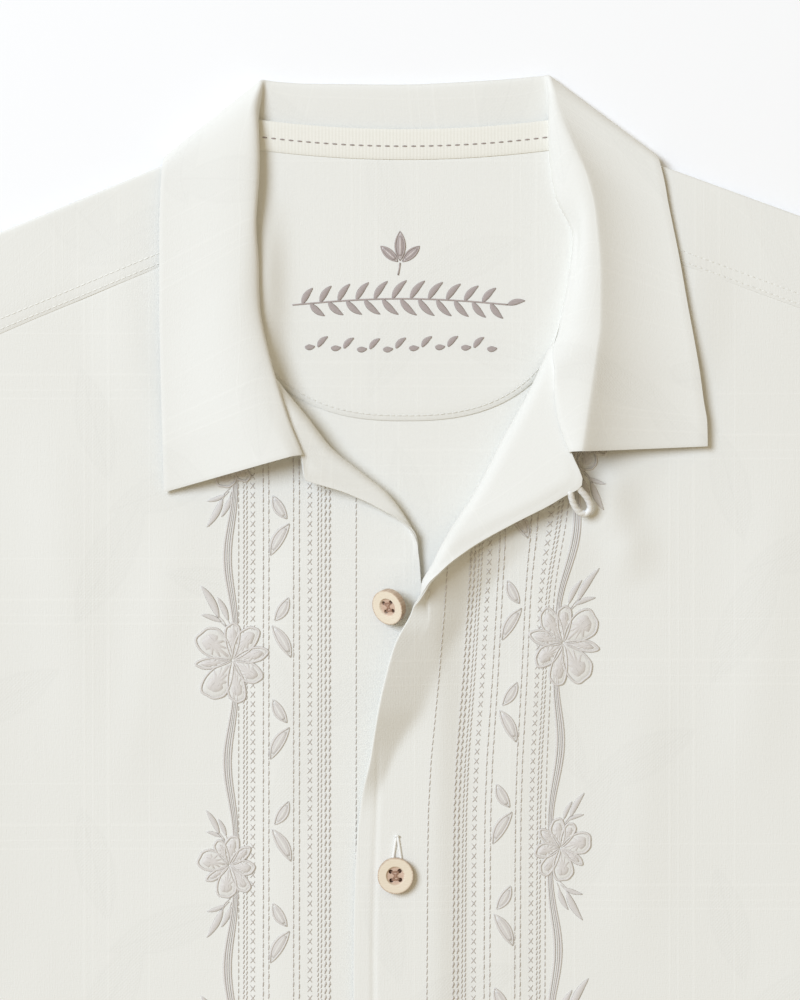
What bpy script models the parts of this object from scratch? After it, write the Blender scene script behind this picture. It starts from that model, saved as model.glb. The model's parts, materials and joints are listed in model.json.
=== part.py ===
# Men's camp shirt laid out flat, front side up, with its collar open.
# Lengths are in millimetres and are turned into metres when a mesh is made.
# X runs to the right of someone who looks down on the shirt, Y towards the collar, Z up.
import math

import bmesh
import bpy
import numpy as np
from mathutils import Matrix, Vector

MM = 0.001
WALL = 1.0
GAP = 0.3
PLY = WALL + GAP

# Body, from a size L pattern laid flat
HEM_Y = -399.4
HEM_HALF = 305.0
CHEST_HALF = 300.0
UNDERARM_Y = 75.0
ACROSS_HALF = 240.0
ACROSS_Y = 200.0
SHOULDER_HALF = 254.0
SHOULDER_TIP_Y = 302.0
SHOULDER_OPEN = 1.6

# Rows down the straight side seam
SIDE_Y = (HEM_Y, -300.0, -200.0, -100.0, -10.0, 60.0)

# Shoulder lines: height at 97 mm from the centre, and fall per millimetre outwards
SHOULDER_REF = 97.0
SHOULDER_LINE = {-1: (363.6, 0.411), 1: (365.6, 0.364)}

# Depth of the strip that comes over each shoulder
STRIP_DEPTH = {-1: 39.0, 1: 36.5}

# Neck
NECK_HALF = 57.0
NECK_Y = 371.3
NECK_RISE = 3.0
NECK_POINT = 64.0
TAPE_LOW_Y = 365.6
TAPE_WIDTH = 12.0
TAPE_HALF = 56.0
TAPE_TILT = 0.6
TAPE_RISE = 3.6
FALL_LIFT_START = 250.0
FALL_LIFT_END = 320.0

# Half-moon patch inside the back neck
PATCH_CENTRE_Y = 330.0
PATCH_HALF = 66.0
PATCH_DEPTH = 68.5
PATCH_POWER = 2.5
PATCH_SIDE_Y = 343.0

# Front openings
OVERLAP_EDGE = 7.0
ROLL_RADIUS = 2.5
FACING_BAND = 42.0
FACING_RAMP = 24.0
OVERLAP_RAMP = 16.0

# Soft lengthwise folds in the fronts
RIPPLE_START = 105.0
RIPPLE_WIDTH = 38.0
RIPPLE_RISE = 0.9

# Sleeve cuff, top and lower corner
CUFF_TOP = (466.0, 179.0)
CUFF_LOW = (366.0, 6.0)
SLEEVE_OPEN = 1.4

# Buttons: 24 ligne, 108 mm apart
BUTTON_RADIUS = 7.6
BUTTON_THICK = 3.0
BUTTON_WELL_RADIUS = 3.7
BUTTON_WELL_DEPTH = 0.8
BUTTON_HOLE_RADIUS = 0.8
BUTTON_HOLE_OFFSET = 1.9
BUTTON_SCALE_NECK = 0.66

# Sewn loop at the lapel tip
CORD_RADIUS = 1.25

# Materials: name, colour, roughness
MATERIALS = {
    "Cloth": ((0.82, 0.81, 0.77), 0.85),
    "Tape": ((0.80, 0.78, 0.70), 0.9),
    "Wood": ((0.72, 0.60, 0.43), 0.5),
    "Cord": ((0.86, 0.85, 0.80), 0.8),
}

# One row of a front, from the hem up. outer_y: where the row starts on the side seam or armhole.
# roll: where it folds. seen: where its inner end lies as the shirt is worn open. fold: how far the
# cloth beyond the roll is turned over, in degrees. turn: the direction across the roll, in degrees.
FRONT_COLUMNS = ("outer_y", "roll_x", "roll_y", "seen_x", "seen_y", "fold", "turn")
FRONT_RIGHT_ROWS = (
    (HEM_Y, -5, HEM_Y, 7, HEM_Y, 0, 0),
    (-300.0, -5, -300, 7, -300, 0, 0),
    (-200.0, -5, -200, 7, -200, 0, 0),
    (-100.0, -5, -100, 7, -100, 0, 0),
    (-10.0, -5, -10, 7, -10, 0, 0),
    (60.0, -5, 60, 7, 60, 0, 0),
    (75.0, -5, 90, 7, 90, 0, 0),
    (88.0, -5, 110, 7, 110, 0, 0),
    (104.0, -5, 132, 7, 132, 0, 0),
    (124.0, -5, 155, 7, 155, 0, 0),
    (148.0, -5, 178, 7, 178, 0, 5),
    (174.0, -5, 199, 6, 199, 20, 15),
    (200.0, -6, 210, 2, 208.5, 45, 20),
    (206.0, -10, 219, -5, 214.5, 145, 36),
    (212.0, -18, 231, -14, 225.5, 168, 42),
    (218.0, -28, 242, -28, 233, 170, 42),
    (223.0, -38, 254, -40, 237.5, 170, 42),
    (228.0, -43, 260, -42.5, 246.5, 170, 42),
    (233.0, -47, 265, -45.5, 256, 170, 40),
    (238.0, -54, 274, -51, 269, 165, 35),
    (244.0, -62, 287, -58, 285, 55, 20),
    (250.0, -66, 302, -61, 302, 20, 5),
    (256.0, -68, 320, -62.5, 320, 0, 0),
    (259.2, -71, 334.8, -65.5, 337.2, 0, 0),
)
FRONT_LEFT_ROWS = (
    (HEM_Y, -7, HEM_Y, -19.6, HEM_Y, 0, 180),
    (-300.0, -7, -300, -19.6, -300, 0, 180),
    (-200.0, -7, -200, -19.6, -200, 0, 180),
    (-100.0, -7, -100, -19.6, -100, 0, 180),
    (-10.0, -7, -10, -19.6, -10, 0, 180),
    (60.0, -6, 60, -19.3, 60, 0, 180),
    (75.0, -5, 92, -17.8, 92, 0, 180),
    (88.0, -3, 110, -16, 110, 0, 180),
    (104.0, -1, 128, -13.4, 128, 0, 178),
    (124.0, 3, 150, -9.6, 150, 0, 172),
    (148.0, 8, 172, -4, 172, 20, 165),
    (174.0, 13, 188, 3.5, 188, 50, 158),
    (200.0, 17, 201, 15, 200, 140, 152),
    (208.0, 23, 214, 28, 211, 166, 151.6),
    (215.0, 31, 229, 44, 219.5, 168, 151.6),
    (222.0, 38, 242, 61, 228, 170, 151.6),
    (228.0, 44, 254, 70, 235.5, 170, 151.6),
    (234.0, 48, 261, 66, 248.5, 170, 151.6),
    (240.0, 52, 268, 63, 257.5, 170, 151.6),
    (246.0, 56, 276, 61, 268, 168, 155),
    (252.0, 61, 287, 61.5, 282, 150, 160),
    (258.0, 66, 298, 62, 297, 50, 172),
    (265.0, 72, 316, 67, 316, 20, 178),
    (271.1, 76, 336.3, 68.5, 339.2, 0, 180),
)

# One section of the collar, from the neck seam over the roll to the outer edge.
# lean: how far the curve reaches towards the neck, before and after the roll.
# drop: the slope of the roll's crest, 0 where the cloth lies flat there and 90 where it turns straight down.
# These sections start on a row of a front: on the lapel's face, or on the front's neck edge.
FRONT_SECTION_COLUMNS = ("row", "top_x", "top_y", "top_z", "leaf_x", "leaf_y", "leaf_z",
                         "lean_seam", "lean_top")
LEFT_LAPEL_SECTIONS = (
    (17, -46.0, 246.5, 16.5, -96.0, 232.8, 7.0, 0.0, 1.5),
    (18, -52, 257, 16.3, -96.2, 242.5, 6.8, 1.0, 3.0),
    (19, -59, 270, 15.6, -96.4, 254.5, 6.7, 3.0, 5.0),
)
LEFT_NECK_SECTIONS = (
    (21, -67, 304, 13.6, -97.2, 286, 6.6, 6.5, 8.5),
    (22, -67, 324, 12.8, -97.6, 306, 6.5, 6.5, 8.5),
    (23, -67, 341, 12.2, -97.6, 324, 6.5, 6.5, 8.5),
)
RIGHT_NECK_SECTIONS = (
    (23, 75.4, 341.0, 13.2, 109.4, 325.0, 6.8, -1.0, 8.0),
    (22, 77.0, 319.0, 13.6, 112.4, 308.0, 7.0, -1.0, 8.0),
    (21, 77.0, 300.0, 14.2, 115.4, 292.0, 7.2, -1.0, 8.0),
)
RIGHT_LAPEL_SECTIONS = (
    (20, 76.4, 288.0, 15.8, 117.4, 280.5, 7.4, -0.5, 7.0),
    (19, 75.4, 276.0, 17.0, 119.0, 269.0, 7.6, 0.0, 5.0),
    (18, 73.8, 264.0, 17.8, 120.4, 260.0, 7.8, 0.0, 3.5),
    (17, 71.4, 250.5, 18.4, 120.8, 251.0, 8.0, 0.0, 1.5),
)
# These start on the shoulder strips and the back.
BACK_SECTION_COLUMNS = ("seam_x", "seam_y", "seam_z", "top_x", "top_y", "top_z", "leaf_x", "leaf_y", "leaf_z",
                        "lean_seam", "lean_top", "drop")
BACK_SECTIONS = (
    (-63.6, 354, 6.0, -66, 357, 11.4, -97.6, 340, 6.3, 6.0, 8.0, 0),
    (-63.2, 365, 6.0, -64, 372, 10.5, -97.2, 352, 6.3, 5.0, 6.5, 0),
    (-63.0, 371, 6.0, -61.5, 385, 8.5, -96.8, 359.5, 6.3, 3.5, 4.0, 10),
    (-62.6, 375.5, 5.4, -58.6, 393.5, 5.6, -96.2, 363.6, 5.8, 1.5, 1.5, 40),
    (-62.0, 378.4, 3.3, -57.0, 396.6, 3.0, -95.2, 366.2, 3.1, 0.0, 0.3, 90),
    (-60.0, 377.2, 1.6, -55.0, 396.4, 2.1, -93.2, 365.2, 1.0, 0.0, 0.0, 90),
    (-57.0, 375.6, 1.4, -52.0, 396.0, 1.9, -88.0, 356.0, 1.0, 0.0, 0.0, 90),
    (-46.0, 373.6, 1.3, -40.0, 395.2, 1.7, -66.0, 344.0, 1.0, 0.0, 0.0, 90),
    (-28.0, 372.5, 1.3, -26.0, 395.0, 1.7, -40.0, 333.0, 1.0, 0.0, 0.0, 90),
    (0.0, 371.8, 1.3, -2.0, 394.8, 1.7, 0.0, 326.0, 1.0, 0.0, 0.0, 90),
    (28.0, 372.5, 1.3, 26.0, 396.0, 1.7, 40.0, 333.0, 1.0, 0.0, 0.0, 90),
    (46.0, 373.6, 1.3, 40.0, 396.9, 1.7, 68.0, 344.0, 1.0, 0.0, 0.0, 90),
    (57.0, 375.6, 1.4, 52.0, 398.0, 1.9, 91.0, 356.0, 1.0, 0.0, 0.0, 90),
    (60.0, 377.6, 1.6, 55.2, 398.2, 2.1, 97.6, 365.8, 1.0, 0.0, 0.0, 90),
    (62.0, 378.8, 3.3, 57.2, 398.4, 3.0, 99.8, 366.6, 3.1, 0.0, 0.3, 90),
    (62.6, 375.5, 5.4, 59.0, 394.0, 5.6, 101.4, 363.6, 5.8, 0.5, 2.0, 40),
    (62.6, 369, 6.0, 62.0, 382.0, 8.5, 103.2, 357.0, 6.3, 0.5, 5.0, 10),
    (62.4, 360, 6.2, 67.0, 369.0, 11.0, 104.8, 348.0, 6.4, 0.0, 6.0, 0),
    (63.6, 351, 6.4, 72.0, 356.0, 12.5, 106.8, 338.0, 6.6, -1.0, 7.5, 0),
)

# Button: place on the centre line and how far its face leans to the left
BUTTON_COLUMNS = ("name", "x", "y", "lean", "scale")
BUTTONS = (
    ("button_1", -7.2, 188.0, 14.0, 1.0),
    ("button_2", -3.6, 80.0, 0.0, 1.0),
    ("button_3", -3.6, -28.0, 0.0, 1.0),
    ("button_4", -3.6, -136.0, 0.0, 1.0),
    ("button_5", -3.6, -244.0, 0.0, 1.0),
    ("button_neck", -78.0, 268.0, 0.0, BUTTON_SCALE_NECK),
)

# Route of the loop's centre line, from the lapel's lower edge round and back to it
LOOP_ROUTE = ((66.0, 230.0), (65.6, 227.9), (66.0, 225.8), (67.6, 223.9), (70.0, 222.7), (72.7, 222.9),
              (74.7, 224.8), (75.0, 227.4), (73.6, 229.9), (71.9, 231.6), (70.2, 232.9))
LOOP_TOP_Z = 15.4
LOOP_LOW_Z = 11.0


def smooth(start, end, value):
    t = min(max((value - start) / (end - start), 0.0), 1.0)
    return t * t * (3.0 - 2.0 * t)


def named(columns, row):
    return dict(zip(columns, row))


# Outline of the body
def half_width(y):
    if y <= UNDERARM_Y:
        share = (y - HEM_Y) / (UNDERARM_Y - HEM_Y)
        return HEM_HALF + (CHEST_HALF - HEM_HALF) * share
    if y <= ACROSS_Y:
        share = (ACROSS_Y - y) / (ACROSS_Y - UNDERARM_Y)
        return ACROSS_HALF + (CHEST_HALF - ACROSS_HALF) * share * share
    share = min((y - ACROSS_Y) / (SHOULDER_TIP_Y - ACROSS_Y), 1.0)
    return ACROSS_HALF + (SHOULDER_HALF - ACROSS_HALF) * share ** 1.5


def shoulder_y(x):
    height, slope = SHOULDER_LINE[1 if x > 0 else -1]
    return height - slope * (abs(x) - SHOULDER_REF)


def neck_y(x):
    return NECK_Y + NECK_RISE * (x / NECK_HALF) ** 2


# Heights of the stacked layers. The back is raised where the collar's fall lies under it
def back_top(y):
    return WALL + PLY * smooth(FALL_LIFT_START, FALL_LIFT_END, y)


def patch_bump(x, y):
    across = abs(x) / (PATCH_HALF + 2.0)
    down = max(PATCH_CENTRE_Y - y, 0.0) / (PATCH_DEPTH + 2.0)
    reach = (across ** PATCH_POWER + down ** PATCH_POWER) ** (1.0 / PATCH_POWER)
    return PLY * (1.0 - smooth(1.0, 1.5, reach))


def facing_bump(from_roll):
    return PLY * (1.0 - smooth(FACING_BAND, FACING_BAND + FACING_RAMP, from_roll))


def ripple(x, y):
    """Soft lengthwise folds between the button band and the side seam."""
    out = abs(x)
    wave = 1.0 - math.cos((out - RIPPLE_START) / RIPPLE_WIDTH)
    across = smooth(RIPPLE_START, RIPPLE_START + 45.0, out) * (1.0 - smooth(230.0, 285.0, out))
    return RIPPLE_RISE * wave * across * (1.0 - smooth(180.0, 250.0, y))


def front_height(x, y, side, from_roll):
    """Height of a front's outer face. from_roll is the distance outwards from the row's roll."""
    height = back_top(y) + GAP + WALL + facing_bump(from_roll) + patch_bump(x, y) + ripple(x, y)
    if side > 0:
        across = 1.0 - smooth(OVERLAP_EDGE + 4.0, OVERLAP_EDGE + 4.0 + OVERLAP_RAMP, x)
        height += 2.0 * PLY * across * (1.0 - smooth(205.0, 225.0, y))
    return height


# Meshes
def material(name):
    colour, roughness = MATERIALS[name]
    mat = bpy.data.materials.get(name) or bpy.data.materials.new(name)
    mat.use_nodes = True
    shader = mat.node_tree.nodes["Principled BSDF"]
    shader.inputs["Base Color"].default_value = (*colour, 1.0)
    shader.inputs["Roughness"].default_value = roughness
    shader.inputs["Metallic"].default_value = 0.0
    return mat


def add_object(name, mesh, slot):
    mesh.materials.clear()
    mesh.materials.append(material(slot))
    obj = bpy.data.objects.new(name, mesh)
    shirt.objects.link(obj)
    return obj


def surface_mesh(name, grid, flip=False, closed=False):
    """Quads over a grid of points. Cells with a missing point are left out."""
    mesh = bpy.data.meshes.new(name)
    bm = bmesh.new()
    verts = [[bm.verts.new(Vector(p) * MM) if p is not None else None for p in row] for row in grid]
    columns = len(grid[0])
    last = columns if closed else columns - 1
    for i in range(len(grid) - 1):
        for j in range(last):
            k = (j + 1) % columns
            cell = [verts[i][j], verts[i + 1][j], verts[i + 1][k], verts[i][k]]
            if None in cell:
                continue
            bm.faces.new(cell[::-1] if flip else cell)
    bm.to_mesh(mesh)
    bm.free()
    return mesh


def cloth(name, grid, slot="Cloth", flip=False, closed=False):
    """A wall of cloth on the grid, thickened towards the side that its faces point to."""
    mesh = surface_mesh(name, grid, flip, closed)
    mesh.shade_smooth()
    obj = add_object(name, mesh, slot)
    wall = obj.modifiers.new("Wall", "SOLIDIFY")
    wall.thickness = WALL * MM
    wall.offset = 1.0
    return obj


def moved_out(grid, distance, flip=False):
    """The same grid, moved to the side that its wall is on."""
    mesh = surface_mesh("guide", grid, flip)
    columns = len(grid[0])
    moved = []
    for i, row in enumerate(grid):
        normals = [mesh.vertices[i * columns + j].normal for j in range(columns)]
        moved.append([tuple(Vector(p) + n * distance) for p, n in zip(row, normals)])
    bpy.data.meshes.remove(mesh)
    return moved


def bezier(p0, p1, p2, p3, t):
    u = 1.0 - t
    return u ** 3 * p0 + 3 * u * u * t * p1 + 3 * u * t * t * p2 + t ** 3 * p3


# Fronts, each with its lapel turned over
PANEL_STEPS = 11
FLAP_STEPS = 7


def flat_flap(row):
    """Vector from the roll to the inner end as it is cut, before the lapel is turned over."""
    turn = math.radians(row["turn"])
    across = Vector((math.cos(turn), math.sin(turn)))
    along = Vector((-math.sin(turn), math.cos(turn)))
    seen = Vector((row["seen_x"] - row["roll_x"], row["seen_y"] - row["roll_y"]))
    fold = math.radians(row["fold"])
    reach = seen.dot(across)
    width = ROLL_RADIUS * fold + (reach - ROLL_RADIUS * math.sin(fold)) / math.cos(fold)
    return across, along, width, seen.dot(along)


def turned_over(row, share, base):
    """Point of the lapel at a share of the way from the roll to the inner end."""
    across, along, width, drift = flat_flap(row)
    fold = math.radians(row["fold"])
    distance = width * share
    bent = min(distance / ROLL_RADIUS, fold)
    straight = max(distance - ROLL_RADIUS * fold, 0.0)
    reach = ROLL_RADIUS * math.sin(bent) + straight * math.cos(fold)
    rise = ROLL_RADIUS * (1.0 - math.cos(bent)) + straight * math.sin(fold)
    place = Vector((row["roll_x"], row["roll_y"])) + across * reach + along * drift * share
    return Vector((place.x, place.y, base + rise))


def front_row(row, side):
    outer = Vector((side * (half_width(row["outer_y"]) - GAP), row["outer_y"]))
    roll = Vector((row["roll_x"], row["roll_y"]))
    width = flat_flap(row)[2]
    length = (roll - outer).length
    points = []
    for k in range(PANEL_STEPS):
        share = 1.0 - (1.0 - k / PANEL_STEPS) ** 1.6
        place = outer.lerp(roll, share)
        points.append((place.x, place.y, front_height(place.x, place.y, side, length * (1.0 - share))))
    base = front_height(roll.x, roll.y, side, 0.0)
    for k in range(FLAP_STEPS + 1):
        share = (k / FLAP_STEPS) ** 1.35
        point = turned_over(row, share, base)
        if row["fold"] == 0:
            point.z = front_height(point.x, point.y, side, 0.0)
        points.append(tuple(point))
    return points


def front_grid(rows, side):
    return [front_row(named(FRONT_COLUMNS, row), side) for row in rows]


# The facing starts this many panel columns outside the roll
FACING_COLUMNS = 3


def make_front(name, facing_name, rows, side):
    flip = side > 0
    grid = front_grid(rows, side)
    cloth(name, grid, flip=flip)
    inner = [row[PANEL_STEPS - FACING_COLUMNS:] for row in moved_out(grid, PLY, flip)]
    cloth(facing_name, inner, flip=flip)
    return grid


# Back, with the strips that come over the shoulders
BACK_COLUMNS = (0.0, 20.0, 40.0, NECK_HALF, NECK_POINT, 80.0, 97.0, 128.0, 170.0, 212.0, SHOULDER_HALF)
BACK_SIDE_Y = SIDE_Y + (75.0, 88.0, 104.0, 124.0, 148.0, 174.0, 200.0, 222.0, 244.0, 262.0, 282.0)
FOLD_STEPS = 4
STRIP_ROWS = (0.15, 0.45, 1.0)


def back_column(x_top):
    side = 1 if x_top > 0 else -1
    share_out = abs(x_top) / SHOULDER_HALF
    on_neck = abs(x_top) < NECK_POINT
    radius = SHOULDER_OPEN / 2.0
    top = neck_y(x_top) if on_neck else shoulder_y(x_top) - WALL - radius
    side_top = shoulder_y(side * SHOULDER_HALF) - WALL - radius
    points = []
    for side_y in BACK_SIDE_Y + (side_top,):
        y = HEM_Y + (top - HEM_Y) * (side_y - HEM_Y) / (side_top - HEM_Y)
        x = side * share_out * half_width(side_y)
        points.append((x, y, back_top(y)))
    if on_neck:
        return points + [None] * (FOLD_STEPS + len(STRIP_ROWS))
    x = side * share_out * SHOULDER_HALF
    low = back_top(top)
    for k in range(1, FOLD_STEPS + 1):
        angle = math.pi * k / FOLD_STEPS
        points.append((x, top + radius * math.sin(angle), low + radius * (1.0 - math.cos(angle))))
    for share in STRIP_ROWS:
        y = top + WALL + radius - STRIP_DEPTH[side] * share
        neck_shift = 1.5 * share if abs(x_top) == NECK_POINT else 0.0
        x = side * (share_out * half_width(y) + neck_shift)
        level = GAP + (SHOULDER_OPEN - GAP) * (1.0 - share) + facing_bump(abs(x) - 68.0) * share
        points.append((x, y, back_top(y) + level))
    return points


def make_back():
    offsets = [-x for x in reversed(BACK_COLUMNS[1:])] + list(BACK_COLUMNS)
    columns = [back_column(x) for x in offsets]
    grid = [[column[i] for column in columns] for i in range(len(columns[0]))]
    return cloth("back", grid)


# Sleeves: flattened tubes from the armhole to the cuff
SLEEVE_SECTIONS = (0.0, 0.12, 0.35, 0.65, 1.0)
SLEEVE_Y = (262.0, 230.0, 200.0, 174.0, 148.0, 124.0, 104.0, 88.0)
SEAM_GAP = 0.6
UNDERARM_ROOM = 3.5
CORNER_GAP = {0: 1.0, 9: 2.4}


def sleeve_path(s, t, side):
    """A point of the sleeve, s from armhole to cuff, t along the cut edge from shoulder to underarm."""
    top = shoulder_y(side * SHOULDER_HALF) - WALL
    heights = (top,) + SLEEVE_Y + (UNDERARM_Y + UNDERARM_ROOM,)
    y = heights[t]
    armhole = Vector((half_width(y) + SEAM_GAP + CORNER_GAP.get(t, 0.0), y + SEAM_GAP))
    share = t / (len(heights) - 1)
    cuff = Vector(CUFF_TOP).lerp(Vector(CUFF_LOW), share)
    return armhole.lerp(cuff, s)


def make_sleeve(name, side):
    grid = []
    last = len(SLEEVE_Y) + 1
    for s in SLEEVE_SECTIONS:
        space = GAP + (SLEEVE_OPEN - GAP) * smooth(0.0, 0.35, s)
        ring = []
        for t in range(last + 1):
            place = sleeve_path(s, t, side)
            ring.append((side * place.x, place.y, WALL + space))
        for t, turns in ((last, (45, 90, 135)), (0, (225, 270, 315))):
            place = sleeve_path(s, t, side)
            for turn in turns:
                angle = math.radians(turn)
                ring.append((side * place.x, place.y - space / 2.0 * math.sin(angle),
                             WALL + space / 2.0 * (1.0 + math.cos(angle))))
            if t == last:
                for back_t in range(last, -1, -1):
                    under = sleeve_path(s, back_t, side)
                    ring.append((side * under.x, under.y, WALL))
        grid.append(ring)
    return cloth(name, grid, flip=side > 0, closed=True)


# Collar: one folded sheet from notch to notch
STAND_STEPS = 5
SEAM_ROOM = 0.2
NECK_LIFT = 0.8
FALL_STEPS = 7


def collar_section(section):
    seam = Vector((section["seam_x"], section["seam_y"], section["seam_z"]))
    top = Vector((section["top_x"], section["top_y"], section["top_z"]))
    leaf = Vector((section["leaf_x"], section["leaf_y"], section["leaf_z"]))
    outward = Vector((leaf.x - top.x, leaf.y - top.y, 0.0)).normalized()
    drop = math.radians(section["drop"])
    crest = outward * math.cos(drop) + Vector((0.0, 0.0, -math.sin(drop)))
    upright = smooth(0.0, 90.0, section["drop"])
    climb = Vector((0.0, 0.0, 0.35 * (top.z - seam.z)))
    along_stand = (top - seam) * 0.4
    near_seam = seam - outward * section["lean_seam"] + climb.lerp(along_stand, upright)
    before = top - outward * section["lean_top"] - crest * (1.1 * upright)
    after = top + outward * (0.3 * (leaf - top).length) * (1.0 - upright) + crest * (0.7 * upright)
    near_leaf = leaf.lerp(top, 0.4)
    near_leaf.z = leaf.z + (top.z - leaf.z) * 0.3 * (1.0 - upright)
    points = []
    for k in range(STAND_STEPS):
        t = k / STAND_STEPS
        points.append(tuple(bezier(seam, near_seam, before, top, t)))
    for k in range(FALL_STEPS + 1):
        t = (k / FALL_STEPS) ** 1.4
        points.append(tuple(bezier(top, after, near_leaf, leaf, t)))
    return points


def front_section(row, seams):
    """A section whose first point lies on the edge of a front."""
    section = named(FRONT_SECTION_COLUMNS, row)
    x, y, z = seams[section["row"]]
    section.update(seam_x=x, seam_y=y, seam_z=z, drop=0)
    return collar_section(section)


def seam_points(grid, side):
    """The ends of a front's rows, just clear of the lapel's face and of the front's neck edge."""
    flip = side > 0
    on_lapel = [row[-1] for row in moved_out(grid, 2.0 * PLY + SEAM_ROOM, flip)]
    on_neck = [(row[-1][0], row[-1][1], row[-1][2] + NECK_LIFT) for row in grid]
    return on_lapel, on_neck


def make_collar(right_grid, left_grid):
    right_lapel, right_neck = seam_points(right_grid, -1)
    left_lapel, left_neck = seam_points(left_grid, 1)
    sections = [front_section(row, right_lapel) for row in LEFT_LAPEL_SECTIONS]
    sections += [front_section(row, right_neck) for row in LEFT_NECK_SECTIONS]
    sections += [collar_section(named(BACK_SECTION_COLUMNS, row)) for row in BACK_SECTIONS]
    sections += [front_section(row, left_neck) for row in RIGHT_NECK_SECTIONS]
    sections += [front_section(row, left_lapel) for row in RIGHT_LAPEL_SECTIONS]
    return cloth("collar", sections)


# Neck tape and half-moon patch, on the inside of the back
TAPE_STEPS = 14
PATCH_COLUMNS = 16
PATCH_ROWS = 6


def tape_low_y(x):
    return TAPE_LOW_Y + TAPE_RISE * (x / NECK_HALF) ** 2


def make_tape():
    grid = []
    for v in (0.0, 0.5, 1.0):
        row = []
        for k in range(TAPE_STEPS + 1):
            x = TAPE_HALF * (2.0 * k / TAPE_STEPS - 1.0)
            row.append((x, tape_low_y(x) + TAPE_WIDTH * v, back_top(NECK_Y) + GAP + TAPE_TILT * v))
        grid.append(row)
    return cloth("neck_tape", grid, slot="Tape", flip=True)


def make_patch():
    grid = []
    for i in range(PATCH_ROWS + 1):
        row = []
        for j in range(PATCH_COLUMNS + 1):
            x = PATCH_HALF * math.sin(math.pi / 2.0 * (2.0 * j / PATCH_COLUMNS - 1.0))
            arc = max(1.0 - (abs(x) / PATCH_HALF) ** PATCH_POWER, 0.0) ** (1.0 / PATCH_POWER)
            low = PATCH_CENTRE_Y - PATCH_DEPTH * arc
            side_fall = smooth(50.0, PATCH_HALF, abs(x))
            high = (tape_low_y(x) - GAP) * (1.0 - side_fall) + PATCH_SIDE_Y * side_fall
            y = low + (high - low) * i / PATCH_ROWS
            row.append((x, y, back_top(y) + GAP))
        grid.append(row)
    return cloth("neck_patch", grid, flip=True)


# Buttons: a turned disc with a well and four holes
BUTTON_SIDES = 24
HOLE_SIDES = 8


def turned_mesh(name, profile):
    mesh = bpy.data.meshes.new(name)
    bm = bmesh.new()
    verts = [bm.verts.new((r * MM, 0.0, z * MM)) for r, z in profile]
    edges = [bm.edges.new(pair) for pair in zip(verts, verts[1:])]
    bmesh.ops.spin(bm, geom=verts + edges, cent=(0, 0, 0), axis=(0, 0, 1), angle=2.0 * math.pi,
                   steps=BUTTON_SIDES, use_duplicate=False)
    bmesh.ops.remove_doubles(bm, verts=bm.verts, dist=1e-5)
    bmesh.ops.recalc_face_normals(bm, faces=bm.faces)
    bm.to_mesh(mesh)
    bm.free()
    return mesh


def make_button(section, ground):
    scale = section["scale"]
    radius = BUTTON_RADIUS * scale
    thick = BUTTON_THICK * scale
    well = BUTTON_WELL_RADIUS * scale
    depth = BUTTON_WELL_DEPTH * scale
    profile = [(0.0, 0.0), (radius * 0.72, 0.0), (radius, thick * 0.45), (radius, thick * 0.75),
               (radius * 0.93, thick), (well * 1.15, thick * 0.93), (well, thick - depth),
               (0.0, thick - depth)]
    obj = add_object(section["name"], turned_mesh(section["name"], profile), "Wood")
    lean = math.radians(section["lean"])
    lift = radius * 0.72 * math.sin(abs(lean))
    place = Vector((section["x"], section["y"], ground + GAP + lift)) * MM
    obj.location = place
    obj.rotation_euler = (0.0, -lean, 0.0)
    holes = bpy.data.meshes.new("holes")
    bm = bmesh.new()
    for dx, dy in ((1, 1), (1, -1), (-1, 1), (-1, -1)):
        offset = Vector((dx * BUTTON_HOLE_OFFSET * scale, dy * BUTTON_HOLE_OFFSET * scale, 0.0)) * MM
        bmesh.ops.create_cone(bm, cap_ends=True, segments=HOLE_SIDES, radius1=BUTTON_HOLE_RADIUS * scale * MM,
                              radius2=BUTTON_HOLE_RADIUS * scale * MM, depth=BUTTON_THICK * 3.0 * MM,
                              matrix=Matrix.Translation(offset))
    bm.to_mesh(holes)
    bm.free()
    cutter = bpy.data.objects.new("cutter_" + section["name"], holes)
    cutters.objects.link(cutter)
    cutter.hide_render = True
    cutter.display_type = "WIRE"
    cutter.matrix_world = Matrix.Translation(place) @ Matrix.Rotation(-lean, 4, "Y")
    cut = obj.modifiers.new("Holes", "BOOLEAN")
    cut.operation = "DIFFERENCE"
    cut.solver = "EXACT"
    cut.object = cutter
    return obj


def button_ground(section):
    """Height of the cloth that a button lies on."""
    x = section["x"]
    y = section["y"]
    on_left_front = section["name"] in ("button_2", "button_3", "button_4", "button_5")
    if on_left_front:
        return front_height(x, y, 1, 0.0)
    return front_height(x, y, -1, 0.0)


# Sewn loop
def make_loop():
    count = len(LOOP_ROUTE)
    curve = bpy.data.curves.new("loop", "CURVE")
    curve.dimensions = "3D"
    curve.bevel_depth = CORD_RADIUS * MM
    curve.bevel_resolution = 2
    curve.use_fill_caps = True
    spline = curve.splines.new("POLY")
    spline.points.add(count - 1)
    for k, (x, y) in enumerate(LOOP_ROUTE):
        sag = math.sin(math.pi * k / (count - 1)) ** 2
        z = LOOP_TOP_Z + (LOOP_LOW_Z - LOOP_TOP_Z) * sag
        spline.points[k].co = (x * MM, y * MM, z * MM, 1.0)
    obj = bpy.data.objects.new("loop", curve)
    curve.materials.append(material("Cord"))
    shirt.objects.link(obj)
    return obj


for old in list(bpy.data.objects):
    bpy.data.objects.remove(old, do_unlink=True)

shirt = bpy.data.collections.new("Camp shirt")
cutters = bpy.data.collections.new("Cutters")
bpy.context.scene.collection.children.link(shirt)
bpy.context.scene.collection.children.link(cutters)

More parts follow.
